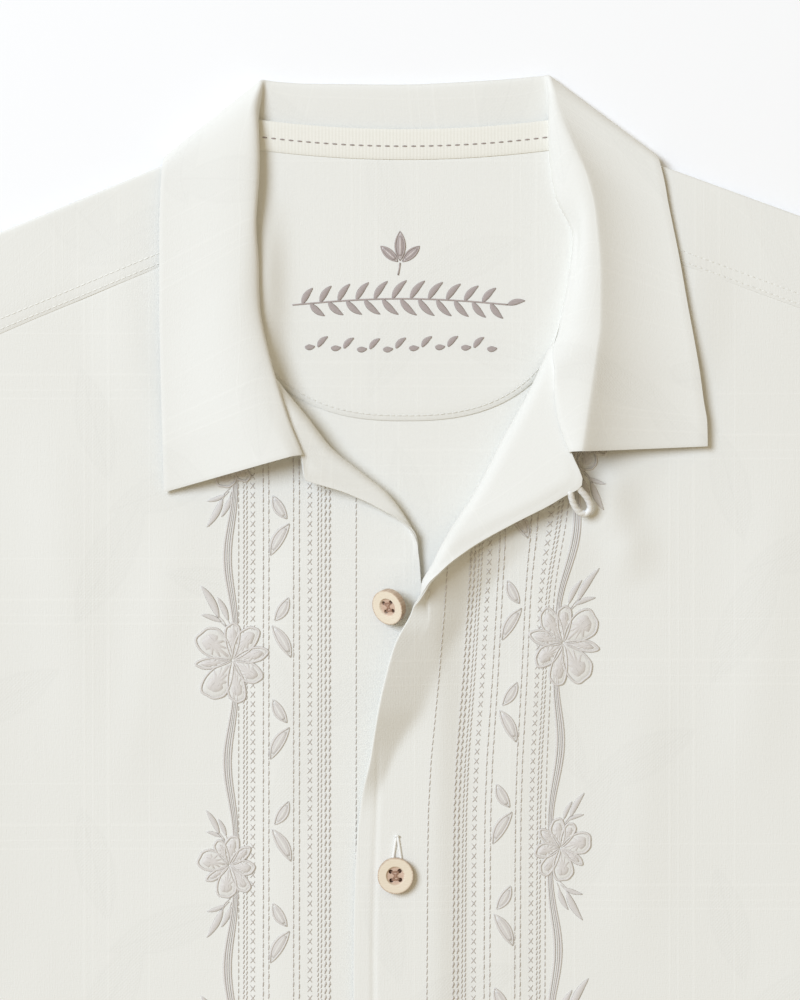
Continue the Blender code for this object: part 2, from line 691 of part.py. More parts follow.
make_back()
right_front = make_front("front_right", "facing_right", FRONT_RIGHT_ROWS, -1)
left_front = make_front("front_left", "facing_left", FRONT_LEFT_ROWS, 1)
make_collar(right_front, left_front)
make_tape()
make_patch()
make_sleeve("sleeve_right", -1)
make_sleeve("sleeve_left", 1)
for button in BUTTONS:
    button_row = named(BUTTON_COLUMNS, button)
    make_button(button_row, button_ground(button_row))
make_loop()
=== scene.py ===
# %% [markdown]
# # A camp shirt, laid out flat
# The shirt lies on its back with its collar open, seen from straight above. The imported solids
# give every form. In this lesson each sheet of cloth gets a finer shell on the same lines, and
# then the seams, stitches, buttons and embroidery that make it look sewn.
# Lengths are in millimetres and become metres when a mesh is made. Only the camera, the lights
# and the floor are placed in metres. X runs to the right of someone who looks down on the
# shirt, Y towards the collar, and Z up.

# %% Load the fixed frame
import json
import math

import bpy
import numpy as np
from mathutils import Matrix, Vector
from mathutils.bvhtree import BVHTree

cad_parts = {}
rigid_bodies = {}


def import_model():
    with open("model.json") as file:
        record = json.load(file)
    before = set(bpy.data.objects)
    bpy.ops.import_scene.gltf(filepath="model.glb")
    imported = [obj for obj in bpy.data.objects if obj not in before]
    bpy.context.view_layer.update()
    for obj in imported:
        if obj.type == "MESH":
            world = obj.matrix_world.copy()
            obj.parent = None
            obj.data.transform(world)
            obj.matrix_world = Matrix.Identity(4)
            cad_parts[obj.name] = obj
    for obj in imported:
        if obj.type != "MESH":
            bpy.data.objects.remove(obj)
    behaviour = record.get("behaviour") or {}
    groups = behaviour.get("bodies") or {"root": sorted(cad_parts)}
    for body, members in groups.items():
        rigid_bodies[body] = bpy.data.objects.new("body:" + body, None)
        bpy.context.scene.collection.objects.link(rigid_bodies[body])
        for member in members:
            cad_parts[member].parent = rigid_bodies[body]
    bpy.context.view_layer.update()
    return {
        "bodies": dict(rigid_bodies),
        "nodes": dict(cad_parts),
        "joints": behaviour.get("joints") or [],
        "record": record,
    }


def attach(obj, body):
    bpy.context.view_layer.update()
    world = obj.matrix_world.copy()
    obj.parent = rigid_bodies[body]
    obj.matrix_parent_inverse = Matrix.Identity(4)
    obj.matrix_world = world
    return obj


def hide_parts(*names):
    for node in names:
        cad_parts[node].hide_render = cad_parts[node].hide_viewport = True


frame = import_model()
MM = 0.001
print("nodes:", len(frame["nodes"]))

# %% [markdown]
# ## Camera, floor and light
# The picture was taken from straight above with a long lens, so the lens is long here too and
# the camera hangs a good metre over the collar. The light is one big soft window on the left,
# which is what gives each fold a bright side and a soft shadow on its right. A pale dome fills
# the shadows, and the floor is nearly white.

# %% Camera over the collar
LENS = 100.0
SENSOR_WIDTH = 36.0
CAMERA_PLACE = (-0.002, 0.2296, 1.113)
cam_data = bpy.data.cameras.new("camera")
cam_data.lens = LENS
cam_data.sensor_width = SENSOR_WIDTH
camera = bpy.data.objects.new("camera", cam_data)
camera.location = CAMERA_PLACE
bpy.context.scene.collection.objects.link(camera)
bpy.context.scene.camera = camera
print("camera height:", camera.location.z)

# %% Lights and dome
WINDOW_PLACE = (-3.55, 2.05, 5.0)
WINDOW_TARGET = (0.0, 0.2, 0.0)
WINDOW_SIZE = 3.4
WINDOW_POWER = 336.0
WINDOW_COLOUR = (0.871, 1.0, 1.2)
DOME_COLOUR = (1.18, 1.0, 0.71, 1.0)
DOME_STRENGTH = 0.415
lamp = bpy.data.lights.new("window_left", "AREA")
lamp.shape = "DISK"
lamp.size = WINDOW_SIZE
lamp.energy = WINDOW_POWER
lamp.color = WINDOW_COLOUR
window = bpy.data.objects.new("window_left", lamp)
window.location = WINDOW_PLACE
look = Vector(WINDOW_TARGET) - Vector(WINDOW_PLACE)
window.rotation_euler = look.to_track_quat("-Z", "Y").to_euler()
bpy.context.scene.collection.objects.link(window)
dome = bpy.data.worlds.new("dome")
bpy.context.scene.world = dome
dome.use_nodes = True
background = dome.node_tree.nodes["Background"]
background.inputs["Color"].default_value = DOME_COLOUR
background.inputs["Strength"].default_value = DOME_STRENGTH
bpy.context.scene.view_settings.view_transform = "Standard"
print("power of the window:", WINDOW_POWER)

# %% [markdown]
# ## Finishes
# The cloth is an off-white silk blend with a self-coloured pattern: groups of fine bright lines
# that cross in a wide check, and pale leaves between them. All of it is woven, so it follows the
# cut of each piece. That is why the patterns read the piece's own UV map, which holds places
# on the flat cut, and not its place in space. Thread, wood and cord get their own finishes.

# %% Small helpers for shader nodes
def new_material(name, colour, roughness):
    mat = bpy.data.materials.new(name)
    mat.use_nodes = True
    shader = mat.node_tree.nodes["Principled BSDF"]
    shader.inputs["Base Color"].default_value = (*colour, 1.0)
    shader.inputs["Roughness"].default_value = roughness
    return mat, mat.node_tree, shader


def calc(operation, *values, clamp=False):
    """A Math node in the tree of its first socket. The other values are sockets or numbers."""
    tree = next(value.id_data for value in values if isinstance(value, bpy.types.NodeSocket))
    node = tree.nodes.new("ShaderNodeMath")
    node.operation = operation
    node.use_clamp = clamp
    for socket, value in zip(node.inputs, values):
        if isinstance(value, bpy.types.NodeSocket):
            tree.links.new(value, socket)
        else:
            socket.default_value = value
    return node.outputs[0]


def plus(first, second, clamp=False):
    return calc("ADD", first, second, clamp=clamp)


def minus(first, second, clamp=False):
    return calc("SUBTRACT", first, second, clamp=clamp)


def times(first, second, clamp=False):
    return calc("MULTIPLY", first, second, clamp=clamp)


def mixed(factor, first, second):
    """A colour between two. The factor is a socket, and each of the two a colour or a socket."""
    tree = factor.id_data
    node = tree.nodes.new("ShaderNodeMix")
    node.data_type = "RGBA"
    for index, value in ((0, factor), (6, first), (7, second)):
        if isinstance(value, bpy.types.NodeSocket):
            tree.links.new(value, node.inputs[index])
        else:
            node.inputs[index].default_value = (*value, 1.0)
    return node.outputs[2]


def cut_place(tree):
    """Across and along the flat cut, in millimetres."""
    source = tree.nodes.new("ShaderNodeUVMap")
    source.uv_map = "cut"
    split = tree.nodes.new("ShaderNodeSeparateXYZ")
    tree.links.new(source.outputs[0], split.inputs[0])
    return times(split.outputs[0], 1.0 / MM), times(split.outputs[1], 1.0 / MM)


def noise(x, y, scale_x, scale_y, detail=2.0):
    """Noise whose grain is 1 / scale wide, in millimetres each way."""
    tree = x.id_data
    join = tree.nodes.new("ShaderNodeCombineXYZ")
    tree.links.new(times(x, scale_x), join.inputs[0])
    tree.links.new(times(y, scale_y), join.inputs[1])
    node = tree.nodes.new("ShaderNodeTexNoise")
    node.inputs["Scale"].default_value = 1.0
    node.inputs["Detail"].default_value = detail
    tree.links.new(join.outputs[0], node.inputs["Vector"])
    return node.outputs["Fac"]


def bump(shader, height, distance):
    """Fine relief of a surface. distance is in metres."""
    tree = height.id_data
    node = tree.nodes.new("ShaderNodeBump")
    node.inputs["Distance"].default_value = distance
    node.inputs["Strength"].default_value = 1.0
    tree.links.new(height, node.inputs["Height"])
    tree.links.new(node.outputs[0], shader.inputs["Normal"])


print("millimetres in a metre:", 1.0 / MM)

# %% Woven check and leaves
# The check's repeat each way, and its lines in one repeat: place and half width
CHECK_ACROSS = 64.0
CHECK_ALONG = 90.0
CHECK_LINES = ((0.0, 0.7), (3.4, 0.5), (9.6, 0.9), (26.0, 0.5))
# The leaves' repeat each way, and its leaves: place, angle in degrees, length, width
LEAF_ACROSS = 138.0
LEAF_ALONG = 176.0
WOVEN_LEAVES = (
    (20, 30, 62, 58, 17), (44, 58, 20, 52, 15), (14, 84, 104, 46, 14), (62, 20, -12, 40, 12),
    (96, 118, 70, 62, 18), (116, 150, 28, 50, 15), (84, 160, 118, 44, 13),
)


def check_lines(place, period):
    """Bright where a line of the check runs."""
    total = None
    for centre, width in CHECK_LINES:
        away = calc("PINGPONG", minus(place, centre), period / 2.0)
        line = minus(1.0, times(away, 1.0 / width), clamp=True)
        total = line if total is None else calc("MAXIMUM", total, line)
    return total


def woven_leaf(u, v, leaf):
    """How far inside a leaf a place is, in millimetres, below zero outside, and its midrib."""
    x, y, degrees, length, width = leaf
    turn = math.radians(degrees)
    du = minus(u, x)
    dv = minus(v, y)
    along = plus(times(du, math.cos(turn)), times(dv, math.sin(turn)))
    across = minus(times(dv, math.cos(turn)), times(du, math.sin(turn)))
    share = times(along, 2.0 / length)
    edge = times(minus(1.0, times(share, share)), width / 2.0)
    side = calc("ABSOLUTE", across)
    inside = minus(edge, side)
    rib = minus(1.0, times(side, 1.6), clamp=True)
    return inside, times(rib, plus(inside, 0.0, clamp=True))


print("woven leaves in a repeat:", len(WOVEN_LEAVES))

# %% The off-white cloth
CLOTH_COLOUR = (0.800, 0.792, 0.742)
CLOTH_ROUGHNESS = 0.82
CLOTH_DARK = 0.955
CLOTH_BRIGHT = 1.045
# What each pattern adds to the tone, which goes from 0 at the dark colour to 1 at the bright one
SLUB_TONE = 0.34
CLOUD_TONE = 0.16
LINE_TONE = 0.25
LEAF_TONE = -0.12
RIM_TONE = -0.22
# What each adds to the relief, whose full height is a bump of this many metres
LINE_RELIEF = 0.18
DIAMOND_RELIEF = 0.12
SLUB_RELIEF = 0.6
CLOTH_BUMP = 0.00012
# Small diamonds in the leaves: turn of their waves for each millimetre, in radians
DIAMOND_WAVES = 4.2


def cloth_finish(name, colour, shift=(0.0, 0.0), pattern=1.0):
    """The cloth. shift moves the woven pattern on a piece's cut, pattern is its strength."""
    mat, tree, shader = new_material(name, colour, CLOTH_ROUGHNESS)
    u, v = cut_place(tree)
    pu = plus(u, shift[0])
    pv = plus(v, shift[1])
    lines = calc("MAXIMUM", check_lines(pu, CHECK_ACROSS), check_lines(pv, CHECK_ALONG))
    lu = calc("FLOORED_MODULO", pu, LEAF_ACROSS)
    lv = calc("FLOORED_MODULO", pv, LEAF_ALONG)
    inside = None
    ribs = None
    for leaf in WOVEN_LEAVES:
        one, rib = woven_leaf(lu, lv, leaf)
        inside = one if inside is None else calc("MAXIMUM", inside, one)
        ribs = rib if ribs is None else calc("MAXIMUM", ribs, rib)
    leaf_mask = times(inside, 1.4, clamp=True)
    rim = minus(1.0, calc("ABSOLUTE", inside), clamp=True)
    warp = noise(u, v, 1.7, 0.035, 3.0)
    weft = noise(u, v, 0.035, 1.7, 3.0)
    slubs = plus(times(warp, 0.55), times(weft, 0.45))
    clouds = noise(u, v, 0.012, 0.012, 2.0)
    diamond = times(calc("SINE", times(u, DIAMOND_WAVES)), calc("SINE", times(v, DIAMOND_WAVES)))
    light = times(minus(slubs, 0.5), SLUB_TONE)
    light = plus(light, times(minus(clouds, 0.5), CLOUD_TONE))
    light = plus(light, times(lines, LINE_TONE * pattern))
    light = plus(light, times(leaf_mask, LEAF_TONE * pattern))
    light = plus(light, times(calc("MAXIMUM", rim, ribs), RIM_TONE * pattern))
    light = plus(light, 0.5, clamp=True)
    dark = tuple(c * CLOTH_DARK for c in colour)
    bright = tuple(min(c * CLOTH_BRIGHT, 1.0) for c in colour)
    tree.links.new(mixed(light, dark, bright), shader.inputs["Base Color"])
    threads = plus(times(noise(u, v, 3.2, 0.5, 1.0), 0.5),
                   times(noise(u, v, 0.5, 3.2, 1.0), 0.5))
    relief = plus(threads, times(lines, LINE_RELIEF * pattern))
    woven = times(leaf_mask, diamond)
    relief = plus(relief, times(woven, DIAMOND_RELIEF * pattern))
    relief = plus(relief, times(slubs, SLUB_RELIEF))
    bump(shader, relief, CLOTH_BUMP)
    shader.inputs["Sheen Weight"].default_value = 0.12
    shader.inputs["Sheen Roughness"].default_value = 0.45
    shader.inputs["Specular IOR Level"].default_value = 0.25
    return mat


CLOTH = cloth_finish("cloth", CLOTH_COLOUR)
CLOTH_LEFT = cloth_finish("cloth_left", CLOTH_COLOUR, (22.0, 24.0))
CLOTH_COLLAR = cloth_finish("cloth_collar", CLOTH_COLOUR, (40.0, 8.0), 0.9)
CLOTH_YOKE = cloth_finish("cloth_yoke", CLOTH_COLOUR, (12.0, 30.0), 0.8)
CLOTH_SLEEVE = cloth_finish("cloth_sleeve", CLOTH_COLOUR, (31.0, 52.0), 0.9)
print("roughness of the cloth:", CLOTH_ROUGHNESS)


# %% Neck tape, thread, cord
THREAD_DARK = 0.14
THREAD_BRIGHT = 0.12
THREAD_BUMP = 0.00003
TAPE_RIB_PITCH = 1.35
TAPE_BUMP = 0.000018


def thread_finish(name, colour, strand, roughness=0.6, contrast=1.0):
    """Thread: strands run across the piece's length, and its tone changes a little on the way."""
    mat, tree, shader = new_material(name, colour, roughness)
    u, v = cut_place(tree)
    strands = calc("SINE", times(u, 2.0 * math.pi / strand))
    tone = noise(u, v, 0.9, 0.9, 2.0)
    light = plus(times(strands, 0.22), tone, clamp=True)
    dark = tuple(c * (1.0 - THREAD_DARK * contrast) for c in colour)
    bright = tuple(min(c * (1.0 + THREAD_BRIGHT * contrast), 1.0) for c in colour)
    tree.links.new(mixed(light, dark, bright), shader.inputs["Base Color"])
    bump(shader, strands, THREAD_BUMP * contrast)
    shader.inputs["Sheen Weight"].default_value = 0.2
    shader.inputs["Specular IOR Level"].default_value = 0.4
    return mat


def tape_finish():
    """Ribbed woven tape: fine ribs across its length."""
    mat, tree, shader = new_material("neck_tape", (0.820, 0.802, 0.725), 0.85)
    u, v = cut_place(tree)
    ribs = calc("SINE", times(u, 2.0 * math.pi / TAPE_RIB_PITCH))
    tone = plus(times(ribs, 0.09), noise(u, v, 0.3, 2.0), clamp=True)
    woven = mixed(tone, (0.795, 0.777, 0.700), (0.85, 0.832, 0.76))
    tree.links.new(woven, shader.inputs["Base Color"])
    bump(shader, ribs, TAPE_BUMP)
    return mat


STITCH = thread_finish("stitch_thread", (0.63, 0.588, 0.548), 0.45)
SATIN = thread_finish("satin_thread", (0.685, 0.65, 0.61), 0.45, 0.5, 0.6)
SATIN_PALE = thread_finish("pale_satin_thread", (0.745, 0.729, 0.68), 0.6, 0.6, 0.3)
NECK_THREAD = thread_finish("neck_thread", (0.36, 0.30, 0.275), 0.45)
TONAL = thread_finish("tonal_thread", (0.87, 0.86, 0.805), 0.45, 0.6, 0.2)
LIP_THREAD = thread_finish("buttonhole_thread", (0.87, 0.862, 0.82), 0.45, 0.5, 0.4)
NECK_SATIN = thread_finish("neck_satin", (0.45, 0.385, 0.36), 0.45, 0.5)
NECK_SATIN_PALE = thread_finish("neck_satin_pale", (0.62, 0.56, 0.53), 0.6, 0.5)
CORD = thread_finish("cord", (0.86, 0.855, 0.825), 0.9, 0.6, 0.5)
TAPE = tape_finish()
print("neck finishes:", [mat.name for mat in (TAPE, NECK_THREAD, NECK_SATIN, NECK_SATIN_PALE)])


# %% Wood of the buttons
# Radius of the browner middle over the well, and where the browner rim begins
WELL_BROWN_RADIUS = 3.1
RIM_RADIUS = 6.55
WOOD_PALE, WOOD_BRIGHT = (0.74, 0.63, 0.48), (0.86, 0.77, 0.62)
WOOD_WELL_BROWN = (0.56, 0.37, 0.27)
RIM_DARK, RIM_PALE = (0.30, 0.19, 0.12), (0.62, 0.44, 0.31)


def wood_finish():
    """Pale coconut wood: long grain, a browner rim and a browner middle over the well."""
    mat, tree, shader = new_material("button_wood", (0.72, 0.60, 0.44), 0.42)
    u, v = cut_place(tree)
    grain = noise(u, v, 0.35, 2.6, 4.0)
    pores = noise(u, v, 1.2, 5.0, 2.0)
    away = calc("SQRT", plus(times(u, u), times(v, v)))
    wobble = times(minus(grain, 0.5), 1.2)
    away = plus(away, wobble)
    middle = minus(1.0, times(minus(away, WELL_BROWN_RADIUS), 1.4, clamp=True))
    rim = times(minus(away, RIM_RADIUS), 1.8, clamp=True)
    tone = plus(times(grain, 0.8), times(pores, 0.2), clamp=True)
    face = mixed(tone, WOOD_PALE, WOOD_BRIGHT)
    well_browned = mixed(times(middle, 0.8), face, WOOD_WELL_BROWN)
    browner = mixed(pores, RIM_DARK, RIM_PALE)
    rimmed = mixed(times(rim, 0.85), well_browned, browner)
    tree.links.new(rimmed, shader.inputs["Base Color"])
    bump(shader, tone, 0.00012)
    shader.inputs["Coat Weight"].default_value = 0.12
    shader.inputs["Coat Roughness"].default_value = 0.3
    return mat


WOOD = wood_finish()
BUTTON_THREAD = thread_finish("button_thread", (0.43, 0.25, 0.165), 0.45)
# Near-black plugs that fill the buttons' holes: painted shade
HOLE_PAINTED_SHADE = thread_finish("hole_shade", (0.12, 0.065, 0.04), 0.45, 0.9)
print("button finishes:", [mat.name for mat in (WOOD, BUTTON_THREAD, HOLE_PAINTED_SHADE)])

# %% [markdown]
# ## Forms of the cloth
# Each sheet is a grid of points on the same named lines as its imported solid, only many times
# finer. A grid suits cloth better than pushing faces by hand: a fold is a roll with a radius,
# and the lapel beyond it turns over without stretching. The helpers below refine the tables
# of rows without overshooting, make a mesh with the flat cut as its UV map, and give it a wall.

# %% Named sizes of the cut
WALL = 1.0
GAP = 0.3
PLY = WALL + GAP
CLOTH_THICK = 0.5
HEM_Y = -399.4
HEM_HALF = 305.0
CHEST_HALF = 300.0
UNDERARM_Y = 75.0
ACROSS_HALF = 240.0
ACROSS_Y = 200.0
SHOULDER_HALF = 254.0
SHOULDER_TIP_Y = 302.0
SHOULDER_OPEN = 1.6
SHOULDER_REF = 97.0
SHOULDER_LINE = {-1: (363.6, 0.411), 1: (365.6, 0.364)}
STRIP_DEPTH = {-1: 39.0, 1: 35.6}
NECK_HALF = 57.0
NECK_Y = 371.3
NECK_RISE = 3.0
NECK_POINT = 64.0
# Behind the neck the back rises by one ply between these places, over the collar's fall
FALL_LIFT_START = 250.0
FALL_LIFT_END = 320.0
PATCH_CENTRE_Y = 330.0
PATCH_HALF = 69.0
PATCH_DEPTH = 68.5
PATCH_POWER = 2.5
OVERLAP_EDGE = 7.0
ROLL_RADIUS = 2.5
# The wearer's right lapel starts with a flat, tight turn: outer_y of a row, its radius
TIGHT_Y = (201.5, 212.0, 223.0, 233.0)
TIGHT_RADIUS = (0.6, 1.0, 2.0, 2.5)
# Row of the lapel's tip in each table of rows
LAPEL_CORNER = {-1: 16, 1: 17}
FACING_BAND = 42.0
FACING_RAMP = 24.0
OVERLAP_RAMP = 16.0
print("body width at the hem:", 2 * HEM_HALF)

# %% Rows of the two fronts
# Each row gives outer_y at the side, roll_x and roll_y at the roll or edge, then width and drift
# of what is turned there, how far it folds and where it points, both in degrees
FRONT_RIGHT_ROWS = (
    (HEM_Y, -5, HEM_Y, 12.0, 0.0, 0, 0),
    (-220, -5, -220, 12.0, 0.0, 0, 0),
    (-40, -5, -40, 12.0, 0.0, 0, 0),
    (60, -5, 60, 12.0, 0.0, 0, 0),
    (75, -5, 90, 12.0, 0.0, 0, 0),
    (88, -5, 110, 12.0, 0.0, 0, 0),
    (104, -5, 132, 12.0, 0.0, 0, 0),
    (124, -5, 155, 12.0, 0.0, 0, 0),
    (148, -5, 176, 12.0, 0.0, 0, 0),
    (172, -2.6, 193, 9.2, 0.0, 0, 3),
    (186, 1.6, 204, 4.3, 0.0, 3, 10),
    (195, 3.4, 210.1, 1.9, 0.0, 14, 20),
    (201.5, 2.6, 214.7, 2.0, 0.0, 64, 30),
    (207, -1.2, 221.0, 3.6, 0.0, 132, 38),
    (212, -8.4, 229.2, 7.4, 0.0, 160, 42),
    (217.5, -19.4, 237.7, 11.0, -2.4, 168, 42),
    (223, -32.7, 247.9, 18.7, -3.0, 170, 42),
    (228, -42.8, 260.2, 15.3, -10.4, 170, 42),
    (233, -47, 265, 12.6, -7.9, 170, 40),
    (238, -54, 274, 8.3, -5.8, 165, 35),
    (244, -62, 287, 4.2, -3.2, 55, 20),
    (250, -66, 302, 5.3, -0.4, 20, 5),
    (256, -68, 320, 5.5, 0.0, 0, 0),
    (262, -71, 334.8, 5.5, 2.4, 0, 0),
)
FRONT_LEFT_ROWS = (
    (HEM_Y, -7, HEM_Y, 13.4, 0.0, 0, 180),
    (-220, -7, -220, 13.4, 0.0, 0, 180),
    (-40, -7, -40, 13.4, 0.0, 0, 180),
    (60, -6, 60, 14.4, 0.0, 0, 180),
    (75, -5, 92, 14.3, 0.0, 0, 180),
    (88, -3, 110, 14.4, 0.0, 0, 180),
    (104, -1, 128, 12.4, 0.4, 0, 178),
    (124, 2.4, 150, 12.0, 0.0, 0, 174),
    (148, 6.2, 169, 10.8, 0.0, 0, 170),
    (168, 9.6, 183, 7.4, 0.0, 12, 163),
    (179, 9.7, 189, 6.4, 0.0, 62, 158),
    (187, 10.3, 195, 7.3, 0.0, 120, 155),
    (197, 14.6, 202, 8.8, 0.0, 146, 153),
    (206, 20.6, 213.2, 14.0, 0.7, 162, 151.6),
    (215, 31, 229, 23.6, 1.3, 168, 151.6),
    (222, 38, 242, 34.6, -0.6, 170, 151.6),
    (228, 44, 254, 40.0, 3.9, 170, 151.6),
    (234, 48, 261, 30.0, 2.4, 170, 151.6),
    (240, 52, 268, 22.8, 4.0, 170, 151.6),
    (246, 56, 276, 16.0, 5.1, 168, 155),
    (252, 61, 287, 10.5, 4.5, 150, 160),
    (258, 66, 298, 5.1, 1.5, 50, 172),
    (265, 71, 316, 5.5, 0.2, 20, 178),
    (275.6, 74, 337.4, 6.0, 3.2, 0, 180),
)
print("rows:", len(FRONT_RIGHT_ROWS), len(FRONT_LEFT_ROWS))


# %% Outline of the body
def smooth(start, end, value):
    """0 before start, 1 after end, and an even step between them."""
    t = np.clip((value - start) / (end - start), 0.0, 1.0)
    return t * t * (3.0 - 2.0 * t)


def half_width(y):
    if y <= UNDERARM_Y:
        share = (y - HEM_Y) / (UNDERARM_Y - HEM_Y)
        return HEM_HALF + (CHEST_HALF - HEM_HALF) * share
    if y <= ACROSS_Y:
        share = (ACROSS_Y - y) / (ACROSS_Y - UNDERARM_Y)
        return ACROSS_HALF + (CHEST_HALF - ACROSS_HALF) * share * share
    share = min((y - ACROSS_Y) / (SHOULDER_TIP_Y - ACROSS_Y), 1.0)
    return ACROSS_HALF + (SHOULDER_HALF - ACROSS_HALF) * share ** 1.5


def shoulder_y(x):
    height, slope = SHOULDER_LINE[1 if x > 0 else -1]
    return height - slope * (abs(x) - SHOULDER_REF)


def neck_y(x):
    return NECK_Y + NECK_RISE * (x / NECK_HALF) ** 2


print("half width at the underarm:", half_width(UNDERARM_Y))


# %% Layers that a front lies on
# Low upright waves in each half: where they start, their length and height
RIPPLE_START = 105.0
RIPPLE_LENGTH = 38.0
RIPPLE_HEIGHT = 0.9


def back_top(y):
    return WALL + PLY * smooth(FALL_LIFT_START, FALL_LIFT_END, y)


def patch_bump(x, y):
    across = np.abs(x) / (PATCH_HALF + 2.0)
    down = np.maximum(PATCH_CENTRE_Y - y, 0.0) / (PATCH_DEPTH + 2.0)
    reach = (across ** PATCH_POWER + down ** PATCH_POWER) ** (1.0 / PATCH_POWER)
    return PLY * (1.0 - smooth(1.0, 1.5, reach))


def facing_bump(from_roll):
    return PLY * (1.0 - smooth(FACING_BAND, FACING_BAND + FACING_RAMP, from_roll))


def ripple(x, y):
    """The waves end before the sides and the shoulders."""
    out = np.abs(x)
    wave = 1.0 - np.cos((out - RIPPLE_START) / RIPPLE_LENGTH)
    height = RIPPLE_HEIGHT * wave * smooth(RIPPLE_START, 150.0, out)
    height = height * (1.0 - smooth(230.0, 285.0, out))
    return height * (1.0 - smooth(180.0, 250.0, y))


print("rise over the patch:", round(float(patch_bump(0.0, PATCH_CENTRE_Y)), 2))

# %% Creases and lifted edges
# Soft creases in the fronts: two ends, half width, height
CREASES = (
    (79, 238, 91, 204, 9, 2.3),
    (96, 150, 90, 60, 12, 0.7),
    (150, 230, 135, 120, 14, 0.8),
    (205, 160, 185, 20, 16, 1.0),
    (160, 40, 150, -120, 15, 0.9),
    (230, 60, 215, -60, 13, 0.8),
    (120, -60, 112, -260, 15, 0.8),
    (245, 235, 205, 180, 12, 1.0),
    (-92, 210, -112, 120, 11, 0.6),
    (-140, 240, -128, 130, 13, 0.8),
    (-190, 190, -176, 40, 16, 1.0),
    (-236, 230, -205, 170, 12, 1.0),
    (-150, 20, -160, -140, 15, 0.9),
    (-225, 80, -210, -70, 13, 0.8),
    (-115, -80, -108, -250, 15, 0.8),
)
# Where the wearer's left edge runs, and how it stands up where the lapel begins to turn
EDGE_LINE_Y = (85.0, 113.6, 133.6, 152.8, 172.8, 189.6, 196.0, 205.0, 215.0)
EDGE_LINE_X = (-19.0, -16.0, -13.2, -9.2, -4.0, 4.6, 9.5, 18.0, 30.0)
EDGE_SLOPE = 0.47
EDGE_RISE = 8.4
EDGE_REACH_Y = (106.0, 116.0, 130.0, 146.0, 165.0, 182.0, 200.0)
EDGE_REACH = (5.0, 6.5, 10.0, 18.0, 21.0, 25.0, 24.0)
GROOVE_LINE_Y = (60.0, 94.0, 118.0, 130.0)
GROOVE_LINE_X = (-12.5, -11.8, -10.9, -10.7)
GROOVE_DEPTH = 0.35
ROLL_RISE = 0.8
ROLL_REACH = 14.0


def edge_rise(x, y):
    """The wearer's left edge stands up, and falls evenly to a line where its shade ends."""
    reach = np.interp(y, EDGE_REACH_Y, EDGE_REACH)
    left = 1.0 - np.maximum(x - np.interp(y, EDGE_LINE_Y, EDGE_LINE_X), 0.0) / reach
    share = (left + np.sqrt(left * left + 0.012)) / 2.0
    rise = np.minimum(EDGE_SLOPE * reach, EDGE_RISE) * share
    return rise * smooth(104.0, 124.0, y) * (1.0 - smooth(196.0, 232.0, y))


def edge_groove(x, y):
    """The line that the seam allowance presses into the placket, a little inside its edge."""
    away = x - np.interp(y, GROOVE_LINE_Y, GROOVE_LINE_X)
    return -GROOVE_DEPTH * np.exp(-away ** 2) * (1.0 - smooth(116.0, 136.0, y))


def roll_rise(from_roll, y):
    """The wearer's right front lifts off the back where its lapel begins."""
    rise = ROLL_RISE * np.exp(-(from_roll / ROLL_REACH) ** 2)
    return rise * smooth(182.0, 206.0, y) * (1.0 - smooth(240.0, 285.0, y))


def creases(x, y):
    """Soft ridges that a worn and smoothed shirt keeps."""
    total = 0.0
    for x0, y0, x1, y1, width, height in CREASES:
        dx, dy = x1 - x0, y1 - y0
        length = math.hypot(dx, dy)
        along = ((x - x0) * dx + (y - y0) * dy) / length
        across = ((x - x0) * dy - (y - y0) * dx) / length
        ends = (smooth(-0.3 * length, 0.25 * length, along)
                * (1.0 - smooth(0.75 * length, 1.3 * length, along)))
        total = total + height * ends * np.exp(-(across / width) ** 2)
    return total


print("creases:", len(CREASES))

# %% Height of a front
# Creases fade out over this width beside the roll, and the placket's overlap ends below these
CREASE_FADE = 30.0
OVERLAP_END_Y = (205.0, 225.0)


def front_height(x, y, side, from_roll):
    """Height of a front's outer face. from_roll is the distance outwards from the row's roll."""
    height = back_top(y) + GAP + WALL + facing_bump(from_roll) + patch_bump(x, y) + ripple(x, y)
    height += creases(x, y) * smooth(0.0, CREASE_FADE, from_roll)
    if side > 0:
        across = 1.0 - smooth(OVERLAP_EDGE + 4.0, OVERLAP_EDGE + 4.0 + OVERLAP_RAMP, x)
        overlap = 2.0 * PLY * across * (1.0 - smooth(*OVERLAP_END_Y, y))
        height += overlap + edge_rise(x, y) + edge_groove(x, y)
    else:
        height += roll_rise(from_roll, y)
    return height


print("height at the chest:", round(float(front_height(-150.0, 0.0, -1, 150.0)), 2))


# %% Refining a table of rows
def refined(rows, steps, corner=None):
    """Rows between rows, by a cubic that never overshoots. Returns them and their row numbers.

    At the corner's row the width and drift of the lapel change their course sharply.
    """
    rows = np.array(rows, float)
    delta = np.diff(rows, axis=0)
    slope = np.vstack([delta[:1], np.zeros_like(delta[1:]), delta[-1:]])
    before, after = delta[:-1], delta[1:]
    same = before * after > 0
    slope[1:-1][same] = 2.0 * before[same] * after[same] / (before[same] + after[same])
    out = []
    numbers = []
    for i, count in enumerate(steps):
        first, last = slope[i].copy(), slope[i + 1].copy()
        if i == corner:
            first[3:5] = delta[i, 3:5]
        if i + 1 == corner:
            last[3:5] = delta[i, 3:5]
        for k in range(count):
            t = k / count
            out.append((1 + 2 * t) * (1 - t) ** 2 * rows[i] + t * (1 - t) ** 2 * first
                       + t * t * (3 - 2 * t) * rows[i + 1] + t * t * (t - 1) * last)
            numbers.append(i + t)
    out.append(rows[-1])
    numbers.append(len(rows) - 1)
    return np.array(out), np.array(numbers)


print("rows from two rows in 4 steps:", len(refined(FRONT_LEFT_ROWS[:2], [4])[0]))


# %% A mesh from a grid
def directions(points, flip):
    """Unit normals of a grid, to the side that its wall is on."""
    normal = np.cross(np.gradient(points, axis=0), np.gradient(points, axis=1))
    normal /= np.linalg.norm(normal, axis=2, keepdims=True) + 1e-12
    return -normal if flip else normal


